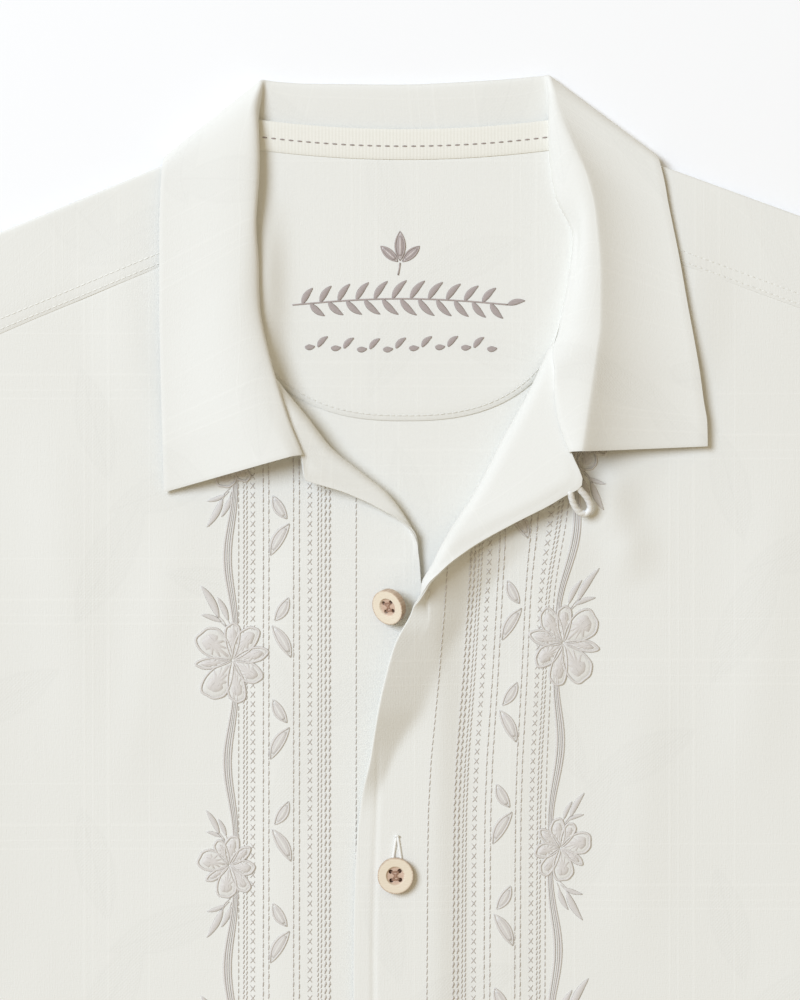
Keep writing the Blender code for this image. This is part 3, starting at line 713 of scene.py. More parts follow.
def link_mesh(name, verts, faces, uvs):
    """A piece from points and faces, with each point's place on the flat cut."""
    mesh = bpy.data.meshes.new(name)
    mesh.from_pydata((np.asarray(verts) * MM).tolist(), [], faces)
    layer = mesh.uv_layers.new(name="cut")
    index = np.zeros(len(mesh.loops), int)
    mesh.loops.foreach_get("vertex_index", index)
    layer.data.foreach_set("uv", (np.asarray(uvs)[index] * MM).ravel())
    mesh.shade_smooth()
    piece = bpy.data.objects.new(name, mesh)
    bpy.context.scene.collection.objects.link(piece)
    return piece


def grid_faces(filled, flip=False, closed=False):
    """Quads over a grid. Cells with a missing point are left out."""
    rows, columns = filled.shape
    number = np.full(filled.shape, -1)
    number[filled] = np.arange(filled.sum())
    faces = []
    for i in range(rows - 1):
        for j in range(columns if closed else columns - 1):
            k = (j + 1) % columns
            cell = (number[i, j], number[i + 1, j], number[i + 1, k], number[i, k])
            if min(cell) >= 0:
                faces.append(tuple(int(n) for n in (cell[::-1] if flip else cell)))
    return faces


print("faces of a grid of 3 by 3 points:", len(grid_faces(np.ones((3, 3), bool))))


# %% A shell of cloth and its area
def use_only(piece):
    bpy.ops.object.select_all(action="DESELECT")
    piece.select_set(True)
    bpy.context.view_layer.objects.active = piece


def apply_all(piece):
    use_only(piece)
    for modifier in list(piece.modifiers):
        bpy.ops.object.modifier_apply(modifier=modifier.name)


def cloth_sheet(name, points, cut, finish, flip=False, closed=False, thick=CLOTH_THICK,
                rounded=0.16):
    """A shell of cloth on a grid. Its wall goes to the side that the faces point to."""
    filled = ~np.isnan(points[:, :, 0])
    piece = link_mesh(name, points[filled], grid_faces(filled, flip, closed), cut[filled])
    piece.data.materials.append(finish)
    wall = piece.modifiers.new("wall", "SOLIDIFY")
    wall.thickness = thick * MM
    wall.offset = 1.0
    edge = piece.modifiers.new("edge", "BEVEL")
    edge.width = rounded * MM
    edge.segments = 2
    edge.limit_method = "ANGLE"
    edge.angle_limit = math.radians(70)
    edge.use_clamp_overlap = True
    apply_all(piece)
    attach(piece, "root")
    return piece


print("a cloth's wall, in millimetres:", CLOTH_THICK)

# %% [markdown]
# ## Fronts and facings
# A camp shirt's front and its facing are sewn together at the edge and turned. Worn open, the
# top of the edge folds over along the roll line and shows the facing as the lapel. Each row of
# the grid runs from the side seam to the roll and then round a small radius, so that the lapel
# lies back on the front. The facing follows the same grid a little further in, and comes close
# to the front again at the sewn edge, which gives the edge its soft, rounded look.

# %% Grid of a front
PANEL_STEPS = 84
FLAP_STEPS = 20
# Columns crowd towards the roll, and on the flap too
PANEL_CROWD = 1.25
FLAP_CROWD = 1.15
# Two rows of the grid lie no further apart than this, in millimetres and in degrees of fold
ROW_REACH = 3.4
ROW_FOLD = 8.0


def row_points(row, side):
    """One row in space and on the flat cut."""
    outer_y, roll_x, roll_y, width, drift, fold, turn = row
    outer = np.array((side * (half_width(outer_y) - GAP), outer_y))
    roll = np.array((roll_x, roll_y))
    turn = math.radians(turn)
    fold_angle = math.radians(max(fold, 0.0))
    across = np.array((math.cos(turn), math.sin(turn)))
    along = np.array((-math.sin(turn), math.cos(turn)))
    length = np.linalg.norm(roll - outer)
    share = 1.0 - (1.0 - np.arange(PANEL_STEPS) / PANEL_STEPS) ** PANEL_CROWD
    flat = outer + (roll - outer) * share[:, None]
    height = front_height(flat[:, 0], flat[:, 1], side, length * (1.0 - share))
    panel = np.column_stack([flat, height])
    flap_share = (np.arange(FLAP_STEPS + 1) / FLAP_STEPS) ** FLAP_CROWD
    distance = width * flap_share
    # A narrow flap turns round a small radius, and one that hardly folds stays level
    radius = min(ROLL_RADIUS, 0.5 + 0.3 * width)
    if side < 0:
        radius = min(radius, float(np.interp(outer_y, TIGHT_Y, TIGHT_RADIUS)))
    bent = np.minimum(distance / radius, fold_angle)
    straight = np.maximum(distance - radius * fold_angle, 0.0)
    reach = radius * np.sin(bent) + straight * math.cos(fold_angle)
    rise = radius * (1.0 - np.cos(bent)) + straight * math.sin(fold_angle)
    place = roll + across * reach[:, None] + along * (drift * flap_share)[:, None]
    base = front_height(roll_x, roll_y, side, 0.0)
    level = front_height(place[:, 0], place[:, 1], side, 0.0)
    blend = smooth(0.0, 12.0, fold)
    flap = np.column_stack([place, level * (1.0 - blend) + (base + rise) * blend])
    flap_cut = roll + across * distance[:, None] + along * (drift * flap_share)[:, None]
    return np.vstack([panel, flap]), np.vstack([flat, flap_cut]), distance


def row_steps(a, b):
    """How many rows of the grid two rows of the table need between them."""
    apart = max(abs(b[0] - a[0]), math.hypot(b[1] - a[1], b[2] - a[2]))
    return max(4, math.ceil(abs(b[5] - a[5]) / ROW_FOLD), math.ceil(apart / ROW_REACH))


def front_grid(rows, side):
    """Points, flat cut, distance from the sewn edge, and row numbers of the table."""
    steps = [row_steps(a, b) for a, b in zip(rows, rows[1:])]
    fine, numbers = refined(rows, steps, LAPEL_CORNER[side])
    made = [row_points(row, side) for row in fine]
    points = np.array([m[0] for m in made])
    cut = np.array([m[1] for m in made])
    from_edge = np.array([m[2][-1] - np.concatenate([np.zeros(PANEL_STEPS), m[2]]) for m in made])
    return points, cut, from_edge, numbers


right_points, right_cut, right_edge, right_rows = front_grid(FRONT_RIGHT_ROWS, -1)
left_points, left_cut, left_edge, left_rows = front_grid(FRONT_LEFT_ROWS, 1)
print("grid of a front:", right_points.shape)

# %% Front and facing shells
FACING_COLUMNS = 26
# How far in the facing lies: below the flat front, on the lapel, and at the sewn edge
FACING_FLAT = 1.3
FACING_LAPEL = 1.8
FACING_EDGE = 0.55
EDGE_ROUND = 7.0
LAST_EDGE_ROW = 17.0


def facing_grid(points, from_edge, numbers, flip):
    """The front's grid, moved in by the depth of the facing."""
    columns = np.arange(points.shape[1])
    share = smooth(PANEL_STEPS - 6, PANEL_STEPS + 3, columns)[None, :]
    depth = FACING_FLAT + (FACING_LAPEL - FACING_FLAT) * share * np.ones((len(points), 1))
    sewn = 1.0 - smooth(LAST_EDGE_ROW - 1.2, LAST_EDGE_ROW - 0.1, numbers)
    close = (1.0 - smooth(0.0, EDGE_ROUND, from_edge)) * sewn[:, None]
    depth = depth + (FACING_EDGE - depth) * close
    return points + directions(points, flip) * depth[:, :, None]


def make_front(side_name, points, cut, from_edge, numbers, finish, flip, facing_shift):
    front = cloth_sheet("cloth_front_" + side_name, points, cut, finish, flip)
    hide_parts("front_" + side_name)
    start = PANEL_STEPS - FACING_COLUMNS
    inner = facing_grid(points, from_edge, numbers, flip)[:, start:]
    facing = cloth_sheet("cloth_facing_" + side_name, inner, cut[:, start:] + facing_shift,
                         finish, flip)
    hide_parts("facing_" + side_name)
    return front, facing, inner


front_right, facing_right, facing_right_points = make_front(
    "right", right_points, right_cut, right_edge, right_rows, CLOTH, False, np.array((37.0, 21.0)))
front_left, facing_left, facing_left_points = make_front(
    "left", left_points, left_cut, left_edge, left_rows, CLOTH_LEFT, True, np.array((-18.0, 44.0)))
print("faces of a front:", len(front_left.data.polygons))

# %% [markdown]
# ## Back, sleeves, patch and tape
# The back is one sheet that rolls forward over each shoulder and ends in the seam that shows in
# front. The sleeves lie as flattened tubes. Inside the neck a half-moon patch covers the back,
# and a ribbed tape covers the collar seam.

# %% Back with its shoulder strips
SEAM_LAP = 1.7
FOLD_STEPS = 8
STRIP_STEPS = 12
# The strip over the shoulder lies this much off the front, and dips to it at the seam
STRIP_CLEAR = 0.06
STRIP_DIP = 0.36
BACK_SIDE_Y = (tuple(np.linspace(HEM_Y, UNDERARM_Y, 96))
               + tuple(np.linspace(UNDERARM_Y, 282.0, 48))[1:])


def back_column(x_top):
    """A line up the back, over the shoulder's fold and down to the seam in front."""
    side = 1 if x_top > 0 else -1
    share_out = abs(x_top) / SHOULDER_HALF
    on_neck = abs(x_top) < NECK_POINT
    radius = SHOULDER_OPEN / 2.0
    top = neck_y(x_top) if on_neck else shoulder_y(x_top) - WALL - radius
    side_top = shoulder_y(side * SHOULDER_HALF) - WALL - radius
    points = []
    for side_y in BACK_SIDE_Y + (side_top,):
        y = HEM_Y + (top - HEM_Y) * (side_y - HEM_Y) / (side_top - HEM_Y)
        points.append((side * share_out * half_width(side_y), y, back_top(y)))
    cut = [point[:2] for point in points]
    if on_neck:
        missing = FOLD_STEPS + STRIP_STEPS
        return points + [(np.nan,) * 3] * missing, cut + [(np.nan,) * 2] * missing
    x = side * share_out * SHOULDER_HALF
    low = back_top(top)
    for k in range(1, FOLD_STEPS + 1):
        angle = math.pi * k / FOLD_STEPS
        points.append((x, top + radius * math.sin(angle), low + radius * (1.0 - math.cos(angle))))
        cut.append((x, top + radius * angle))
    for k in range(1, STRIP_STEPS + 1):
        share = k / STRIP_STEPS
        y = top + WALL + radius - (STRIP_DEPTH[side] + SEAM_LAP) * share
        neck_shift = 1.5 * share * (1.0 - smooth(NECK_POINT, NECK_POINT + 12.0, abs(x_top)))
        level = SHOULDER_OPEN + (PLY + STRIP_CLEAR - SHOULDER_OPEN) * share
        level += facing_bump(abs(x) - 68.0) * share
        level -= STRIP_DIP * smooth(0.8, 1.0, share)
        place_x = side * (share_out * half_width(y) + neck_shift)
        points.append((place_x, y, back_top(y) + level))
        cut.append((x, 2.0 * top - y))
    return points, cut


out_x = np.concatenate([np.linspace(0, NECK_POINT, 15),
                        np.linspace(NECK_POINT, SHOULDER_HALF, 43)[1:]])
made = [back_column(x) for x in np.concatenate([-out_x[:0:-1], out_x])]
back_points = np.array([m[0] for m in made]).transpose(1, 0, 2)
back_cut = np.array([m[1] for m in made]).transpose(1, 0, 2)
back = cloth_sheet("cloth_back", back_points, back_cut, CLOTH_YOKE)
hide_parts("back")
print("back faces:", len(back.data.polygons))

# %% Sleeves
CUFF_TOP = (466.0, 179.0)
CUFF_LOW = (366.0, 6.0)
SLEEVE_OPEN = 1.4
SEAM_GAP = 0.6
UNDERARM_ROOM = 3.5
# How far the armhole's two ends stand off the body
TOP_ROOM = 1.0
LOW_ROOM = 2.4
# Flat size of a sleeve's tube, cut open
SLEEVE_LONG = 230.0
SLEEVE_ROUND = 460.0
SLEEVE_LENGTH_STEPS = 44
SLEEVE_WIDTH_STEPS = 40


def sleeve_path(s, t, side):
    """A point of the sleeve, s from armhole to cuff, t from shoulder to underarm."""
    top = shoulder_y(side * SHOULDER_HALF) - WALL
    low = UNDERARM_Y + UNDERARM_ROOM
    y = top + (low - top) * t
    corner = TOP_ROOM * max(0.0, 1.0 - t / 0.1) + LOW_ROOM * max(0.0, (t - 0.85) / 0.15)
    armhole = np.array((half_width(y) + SEAM_GAP + corner, y + SEAM_GAP))
    cuff = np.array(CUFF_TOP) * (1.0 - t) + np.array(CUFF_LOW) * t
    return armhole * (1.0 - s) + cuff * s


def sleeve_relief(s, t):
    """Low drag lines that run down from the shoulder, none at the two ends."""
    free = smooth(0.08, 0.3, s) * smooth(0.05, 0.2, t) * (1.0 - smooth(0.8, 0.95, t))
    waves = 0.9 + 0.6 * math.sin(9.0 * t - 3.0 * s) + 0.35 * math.sin(19.0 * t + 4.0 * s + 1.0)
    return free * waves


def make_sleeve(side_name, side):
    """A flattened tube: its top, the turn at the underarm, its lower layer and the other turn."""
    rows = []
    cuts = []
    width = SLEEVE_ROUND / 2.0
    for i in range(SLEEVE_LENGTH_STEPS + 1):
        s = i / SLEEVE_LENGTH_STEPS
        space = GAP + (SLEEVE_OPEN - GAP) * smooth(0.0, 0.35, s)
        ring = []
        cut = []
        for k in range(SLEEVE_WIDTH_STEPS + 1):
            t = k / SLEEVE_WIDTH_STEPS
            place = sleeve_path(s, t, side)
            ring.append((side * place[0], place[1], WALL + space + sleeve_relief(s, t)))
            cut.append((width * t, SLEEVE_LONG * s))
        for t, turns in ((1.0, (45, 90, 135)), (0.0, (225, 270, 315))):
            place = sleeve_path(s, t, side)
            for turn in turns:
                angle = math.radians(turn)
                ring.append((side * place[0], place[1] - space / 2.0 * math.sin(angle),
                             WALL + space / 2.0 * (1.0 + math.cos(angle))))
                cut.append((width * (1.0 if t else 2.0), SLEEVE_LONG * s))
            if t:
                for k in range(SLEEVE_WIDTH_STEPS, -1, -1):
                    under = sleeve_path(s, k / SLEEVE_WIDTH_STEPS, side)
                    ring.append((side * under[0], under[1], WALL))
                    cut.append((width * (2.0 - k / SLEEVE_WIDTH_STEPS), SLEEVE_LONG * s))
        rows.append(ring)
        cuts.append(cut)
    points = np.array(rows)
    sleeve = cloth_sheet("cloth_sleeve_" + side_name, points, np.array(cuts), CLOTH_SLEEVE,
                         flip=side > 0, closed=True)
    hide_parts("sleeve_" + side_name)
    return sleeve, points


sleeve_right, sleeve_right_points = make_sleeve("right", -1)
sleeve_left, sleeve_left_points = make_sleeve("left", 1)
print("sleeve faces:", len(sleeve_left.data.polygons))

# %% Half-moon patch and neck tape
TAPE_LOW_Y = 365.6
TAPE_WIDTH = 12.0
TAPE_HALF = 58.8
TAPE_TILT = 0.6
TAPE_RISE = 3.6
TAPE_LIFT = 0.7
TAPE_STEP = 0.3
TAPE_THICK = 0.5
PATCH_THICK = 0.8
PATCH_SIDE_Y = 340.0
PATCH_COLUMNS = 72
PATCH_ROWS = 40


def tape_low_y(x):
    return TAPE_LOW_Y + TAPE_RISE * (x / NECK_HALF) ** 2


def tape_height(v):
    """Height under the tape's cloth, v from its lower edge to its upper one."""
    return back_top(NECK_Y) + GAP + TAPE_LIFT + TAPE_TILT * v + TAPE_STEP * smooth(0.0, 0.25, v)


def patch_low_y(x):
    arc = max(1.0 - (abs(x) / PATCH_HALF) ** PATCH_POWER, 0.0) ** (1.0 / PATCH_POWER)
    return PATCH_CENTRE_Y - PATCH_DEPTH * arc


# The neck seam holds the patch up beside the stand of the wearer's right side
STAND_LIFT = 4.3
STAND_LIFT_X = -57.0
STAND_LIFT_WIDTH = 7.0


def patch_lift(x, y):
    near = np.exp(-((x - STAND_LIFT_X) / STAND_LIFT_WIDTH) ** 2)
    return STAND_LIFT * near * smooth(262.0, 292.0, y) * (1.0 - smooth(318.0, 361.0, y))


def make_patch():
    rows = []
    for i in range(PATCH_ROWS + 1):
        row = []
        for j in range(PATCH_COLUMNS + 1):
            x = PATCH_HALF * math.sin(math.pi / 2.0 * (2.0 * j / PATCH_COLUMNS - 1.0))
            low = patch_low_y(x)
            side_fall = max(0.0, (abs(x) - 63.0) / (PATCH_HALF - 63.0))
            high = (tape_low_y(x) + 1.2) * (1.0 - side_fall) + PATCH_SIDE_Y * side_fall
            y = low + (high - low) * i / PATCH_ROWS
            sewn_down = 0.6 * (1.0 - smooth(0.0, 3.5, y - low))
            row.append((x, y, back_top(y) + GAP + patch_lift(x, y) - sewn_down))
        rows.append(row)
    points = np.array(rows)
    patch = cloth_sheet("cloth_neck_patch", points, points[:, :, :2] + np.array((9.0, 55.0)),
                        CLOTH_YOKE, flip=True, thick=PATCH_THICK)
    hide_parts("neck_patch")
    return patch, points


def make_tape():
    x = np.linspace(-TAPE_HALF, TAPE_HALF, 57)
    rows = []
    for v in np.linspace(0.0, 1.0, 9):
        rows.append([(a, tape_low_y(a) + TAPE_WIDTH * v, tape_height(v)) for a in x])
    points = np.array(rows)
    tape = cloth_sheet("cloth_neck_tape", points, points[:, :, :2], TAPE, flip=True,
                       thick=TAPE_THICK)
    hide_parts("neck_tape")
    return tape, points


neck_patch, patch_points = make_patch()
neck_tape, tape_points = make_tape()
print("patch faces:", len(neck_patch.data.polygons))

# %% [markdown]
# ## Collar
# The one-piece collar stands on the neck seam, rolls over and falls outwards. It is drawn as
# sections across the roll, from notch to notch, as a maker would draft it. Each section is two
# curves that meet at the crest. The ends start exactly on the lapels' seam.

# %% Sections of the collar
# A section on a front gives the front's row, then x, y and z of the crest and of the leaf's edge,
# and how far the curve leans at the seam and at the crest. One at the back gives its seam as x,
# y and z instead of a row, and ends with its drop in degrees, 0 over the shoulder and 90 where
# the collar lies flat behind the neck
LEFT_LAPEL_SECTIONS = (
    (17, -46.0, 246.5, 16.3, -96.0, 232.8, 4.2, 0.0, 1.5),
    (18, -52, 257, 15.8, -96.2, 242.5, 5.6, 1.0, 3.0),
    (19, -59, 270, 15.0, -96.4, 254.5, 7.0, 3.0, 5.0),
)
LEFT_NECK_SECTIONS = (
    (21, -67, 304, 13.0, -97.2, 286, 8.2, 6.5, 8.5),
    (22, -65.8, 324, 12.0, -97.6, 306, 8.5, 6.5, 8.5),
    (23, -64.6, 341, 11.4, -97.6, 324, 8.3, 6.5, 8.5),
)
RIGHT_NECK_SECTIONS = (
    (23, 75.4, 341.0, 13.2, 109.4, 325.0, 6.9, -4.0, 8.0),
    (22, 77.0, 319.0, 13.6, 112.4, 308.0, 6.9, -4.0, 8.0),
    (21, 76.8, 300.0, 14.2, 115.4, 292.0, 6.7, -3.0, 8.0),
)
RIGHT_LAPEL_SECTIONS = (
    (20, 75.2, 288.0, 15.8, 117.4, 280.5, 6.4, -0.5, 7.0),
    (19, 73.4, 276.0, 17.0, 119.0, 269.0, 6.0, 0.0, 5.0),
    (18, 71.6, 264.0, 17.8, 120.4, 260.0, 5.7, 0.0, 3.5),
    (17, 69.4, 248.8, 18.4, 120.6, 251.0, 5.4, 0.0, 1.5),
)
BACK_SECTIONS = (
    (-63.6, 354, 5.2, -63.6, 357, 10.8, -97.6, 340, 8.0, 6.0, 8.0, 0),
    (-62.6, 365, 4.8, -62.6, 372, 10.0, -97.2, 352, 7.6, 5.0, 6.5, 0),
    (-61.8, 371, 4.4, -61.5, 385, 8.3, -96.8, 359.5, 7.0, 3.5, 4.0, 10),
    (-61.4, 375.5, 4.0, -58.6, 393.5, 5.6, -96.2, 363.6, 5.8, 1.5, 1.5, 40),
    (-62.0, 378.4, 3.3, -57.0, 396.6, 3.0, -95.2, 366.2, 3.1, 0.0, 0.3, 90),
    (-60.0, 377.2, 1.6, -55.0, 396.4, 2.1, -93.2, 365.2, 1.0, 0.0, 0.0, 90),
    (-57.0, 375.6, 1.4, -52.0, 396.0, 1.9, -88.0, 356.0, 1.0, 0.0, 0.0, 90),
    (-46.0, 373.6, 1.3, -40.0, 395.2, 1.7, -66.0, 344.0, 1.0, 0.0, 0.0, 90),
    (-28.0, 372.5, 1.3, -26.0, 395.0, 1.7, -40.0, 333.0, 1.0, 0.0, 0.0, 90),
    (0.0, 371.8, 1.3, -2.0, 394.8, 1.7, 0.0, 326.0, 1.0, 0.0, 0.0, 90),
    (28.0, 372.5, 1.3, 26.0, 396.0, 1.7, 40.0, 333.0, 1.0, 0.0, 0.0, 90),
    (46.0, 373.6, 1.3, 40.0, 396.9, 1.7, 68.0, 344.0, 1.0, 0.0, 0.0, 90),
    (57.0, 375.6, 1.4, 52.0, 398.0, 1.9, 91.0, 356.0, 1.0, 0.0, 0.0, 90),
    (60.0, 377.6, 1.6, 55.2, 398.2, 2.1, 97.6, 365.8, 1.0, 0.0, 0.0, 90),
    (60.4, 379.4, 3.2, 57.2, 398.4, 3.0, 99.8, 366.6, 3.1, 0.0, 0.3, 90),
    (58.8, 376.4, 4.0, 59.0, 394.0, 5.6, 101.4, 363.6, 5.8, 0.5, 2.0, 40),
    (58.4, 370, 4.4, 62.0, 382.0, 8.5, 103.2, 357.0, 6.3, 0.5, 5.0, 10),
    (59.2, 361, 4.8, 67.0, 369.0, 11.0, 104.8, 348.0, 6.4, 0.0, 6.0, 0),
    (61.2, 350.6, 5.2, 72.4, 356.0, 12.5, 106.8, 338.0, 6.6, -1.0, 7.5, 0),
)
STAND_STEPS = 16
FALL_STEPS = 28
SECTION_STEPS = 6
SEAM_ROOM = 0.2
NECK_LIFT = 0.8
NO_ROW = -1000.0
TUCK_STEPS = 3
NECK_FLOOR = 3.25
print("sections at the back:", len(BACK_SECTIONS))


# %% The collar's grid
def row_end(points, numbers, row, flip, on_lapel):
    """Where the collar's seam lies on a front's row."""
    ends = points[:, -1]
    if on_lapel:
        ends = ends + directions(points, flip)[:, -1] * (2.0 * PLY + SEAM_ROOM)
    else:
        ends = ends + np.array((0.0, 0.0, NECK_LIFT))
    return np.array([np.interp(row, numbers, ends[:, axis]) for axis in range(3)])


def run_length(path):
    """Distance along a path, from 0 at its first point."""
    return np.concatenate([[0.0], np.cumsum(np.linalg.norm(np.diff(path, axis=0), axis=1))])


def bezier(p0, p1, p2, p3, t):
    u = 1.0 - t
    return u ** 3 * p0 + 3 * u * u * t * p1 + 3 * u * t * t * p2 + t ** 3 * p3


def collar_section(seam, top, leaf, lean_seam, lean_top, drop, tuck):
    """tuck is how far the stand reaches down below the seam, onto the back of the neck."""
    outward = np.array((leaf[0] - top[0], leaf[1] - top[1], 0.0))
    outward /= np.linalg.norm(outward)
    angle = math.radians(drop)
    crest = outward * math.cos(angle) + np.array((0.0, 0.0, -math.sin(angle)))
    upright = smooth(0.0, 90.0, drop)
    climb = np.array((0.0, 0.0, 0.35 * (top[2] - seam[2])))
    near_seam = seam - outward * lean_seam + climb * (1.0 - upright) + (top - seam) * 0.4 * upright
    before = top - outward * lean_top - crest * (1.1 * upright)
    # The side away from the window drops soon after its crest, the other one slopes evenly
    steep = float(smooth(40.0, 64.0, top[0])) * (1.0 - upright)
    reach = (0.3 - 0.25 * steep) * np.linalg.norm(leaf - top)
    after = top + outward * reach * (1.0 - upright) + crest * (0.7 * upright)
    near_leaf = leaf + (top - leaf) * (0.4 + 0.3 * steep)
    rise = (top[2] - leaf[2]) * 0.3 * (1.0 - steep) - 0.9 * steep
    near_leaf[2] = leaf[2] + rise * (1.0 - upright)
    stand = [bezier(seam, near_seam, before, top, k / STAND_STEPS) for k in range(STAND_STEPS)]
    fall = [bezier(top, after, near_leaf, leaf, (k / FALL_STEPS) ** 1.3)
            for k in range(FALL_STEPS + 1)]
    below = [seam - np.array((0.0, 0.0, tuck * k / TUCK_STEPS)) for k in range(TUCK_STEPS, 0, -1)]
    return np.array(below + stand + fall)


def with_seams(table, points, numbers, flip, on_lapel):
    """A front section's row becomes its seam point, and is kept as the last number."""
    made = []
    for row, *rest in table:
        seam = row_end(points, numbers, row, flip, on_lapel)
        made.append((*seam, *rest, 0.0, float(row)))
    return made


print("points across the collar:", TUCK_STEPS + STAND_STEPS + FALL_STEPS + 1)

# %% The collar from notch to notch
wide = with_seams(LEFT_LAPEL_SECTIONS, right_points, right_rows, False, True)
wide += with_seams(LEFT_NECK_SECTIONS, right_points, right_rows, False, False)
wide += [(*row, NO_ROW) for row in BACK_SECTIONS]
wide += with_seams(RIGHT_NECK_SECTIONS, left_points, left_rows, True, False)
wide += with_seams(RIGHT_LAPEL_SECTIONS, left_points, left_rows, True, True)
fine, section_numbers = refined(wide, [SECTION_STEPS] * (len(wide) - 1))
last_left = len(LEFT_LAPEL_SECTIONS) - 1
first_right = len(wide) - len(RIGHT_LAPEL_SECTIONS)
sections = []
for row, number in zip(fine, section_numbers):
    seam = row[:3]
    if number <= last_left:
        seam = row_end(right_points, right_rows, row[12], False, True)
    elif number >= first_right - 1:
        on_lapel = smooth(first_right - 1.0, float(first_right), number)
        seam = (row_end(left_points, left_rows, row[12], True, True) * on_lapel
                + row_end(left_points, left_rows, row[12], True, False) * (1.0 - on_lapel))
    on_neck = (smooth(last_left + 0.1, last_left + 1.0, number)
               * (1.0 - smooth(first_right - 0.1, first_right + 0.7, number)))
    tuck = max(seam[2] - NECK_FLOOR, 0.0) * on_neck + 0.02
    sections.append(collar_section(seam, row[3:6], row[6:9], row[9], row[10], row[11], tuck))
collar_points = np.array(sections)
down = np.array([run_length(section) for section in collar_points])
along_collar = run_length(collar_points[:, TUCK_STEPS + STAND_STEPS])
collar_cut = np.stack([np.repeat(along_collar[:, None], down.shape[1], axis=1), down], axis=2)
collar = cloth_sheet("cloth_collar", collar_points, collar_cut, CLOTH_COLLAR, thick=1.0,
                     rounded=0.35)
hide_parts("collar")
print("collar faces:", len(collar.data.polygons))

# %% [markdown]
# ## Stitches
# Thread is what makes cloth look sewn, so every stitch is a small solid. One stitch is modelled
# from a low sphere, drawn out to a grain, and its points are then copied thousands of times in
# one mesh. Satin stitch is a low rounded ribbon that follows a path, because its threads lie so
# close that only their fine ribs show. Both are laid on the cloth by reading its height.

# %% Height of the cloth under the stitches
class Ground:
    """Heights of a sheet on a square net, read between its points."""

    def __init__(self, points, step=2.0):
        rows, columns = points.shape[:2]
        faces = grid_faces(np.ones((rows, columns), bool))
        tree = BVHTree.FromPolygons(points.reshape(-1, 3).tolist(), faces)
        self.low = points.reshape(-1, 3).min(axis=0)[:2] - step
        high = points.reshape(-1, 3).max(axis=0)[:2] + step
        self.step = step
        count = np.ceil((high - self.low) / step).astype(int) + 1
        self.net = np.full(count, np.nan)
        for i in range(count[0]):
            for j in range(count[1]):
                x, y = self.low[0] + i * step, self.low[1] + j * step
                hit = tree.ray_cast(Vector((x, y, 60.0)), Vector((0.0, 0.0, -1.0)))[0]
                if hit is not None:
                    self.net[i, j] = hit.z
        for _ in range(4):
            self.spread()

    def spread(self):
        """Fills empty points from their neighbours, so that an edge reads as its cloth."""
        padded = np.pad(self.net, 1, constant_values=np.nan)
        around = np.stack([padded[:-2, 1:-1], padded[2:, 1:-1],
                           padded[1:-1, :-2], padded[1:-1, 2:]])
        known = (~np.isnan(around)).sum(axis=0)
        mean = np.nansum(around, axis=0) / np.maximum(known, 1)
        empty = np.isnan(self.net) & (known > 0)
        self.net[empty] = mean[empty]

    def at(self, x, y):
        place = (np.stack([x, y], axis=-1) - self.low) / self.step
        place = np.clip(place, 0.0, np.array(self.net.shape) - 1.001)
        i = place.astype(int)
        f = place - i
        net = self.net
        a, b = net[i[..., 0], i[..., 1]], net[i[..., 0] + 1, i[..., 1]]
        c, d = net[i[..., 0], i[..., 1] + 1], net[i[..., 0] + 1, i[..., 1] + 1]
        low = a * (1 - f[..., 0]) + b * f[..., 0]
        high = c * (1 - f[..., 0]) + d * f[..., 0]
        return low * (1 - f[..., 1]) + high * f[..., 1]


right_ground = Ground(right_points[:, :PANEL_STEPS + 2]).at
left_ground = Ground(left_points[:, :PANEL_STEPS + 2]).at


def patch_ground(x, y):
    return back_top(y) + GAP + PATCH_THICK + patch_lift(x, y)


chest = left_ground(np.array(150.0), np.array(0.0))
print("height of the left chest:", round(float(chest), 2))

# %% One stitch
bpy.ops.object.select_all(action="DESELECT")
bpy.ops.mesh.primitive_uv_sphere_add(segments=5, ring_count=4, radius=0.5,
                                     rotation=(0.0, math.pi / 2.0, 0.0))
bpy.ops.object.transform_apply(location=False, rotation=True, scale=False)
grain = bpy.context.object
UNIT_VERTS = np.array([v.co[:] for v in grain.data.vertices])
UNIT_VERTS[:, 0] = np.sign(UNIT_VERTS[:, 0]) * 0.5 * np.abs(2.0 * UNIT_VERTS[:, 0]) ** 0.75
UNIT_FACES = sorted(tuple(f.vertices) for f in grain.data.polygons)
bpy.data.objects.remove(grain, do_unlink=True)
print("faces of one stitch:", len(UNIT_FACES))


# %% Joined stitches and satin ribbons
def tube_faces(count, ring):
    """Quads between the rings of a tube, and its two ends."""
    faces = []
    for i in range(count - 1):
        for j in range(ring):
            k = (j + 1) % ring
            faces.append((i * ring + j, i * ring + k, (i + 1) * ring + k, (i + 1) * ring + j))
    faces.append(tuple(range(ring))[::-1])
    last = (count - 1) * ring
    faces.append(tuple(last + j for j in range(ring)))
    return faces


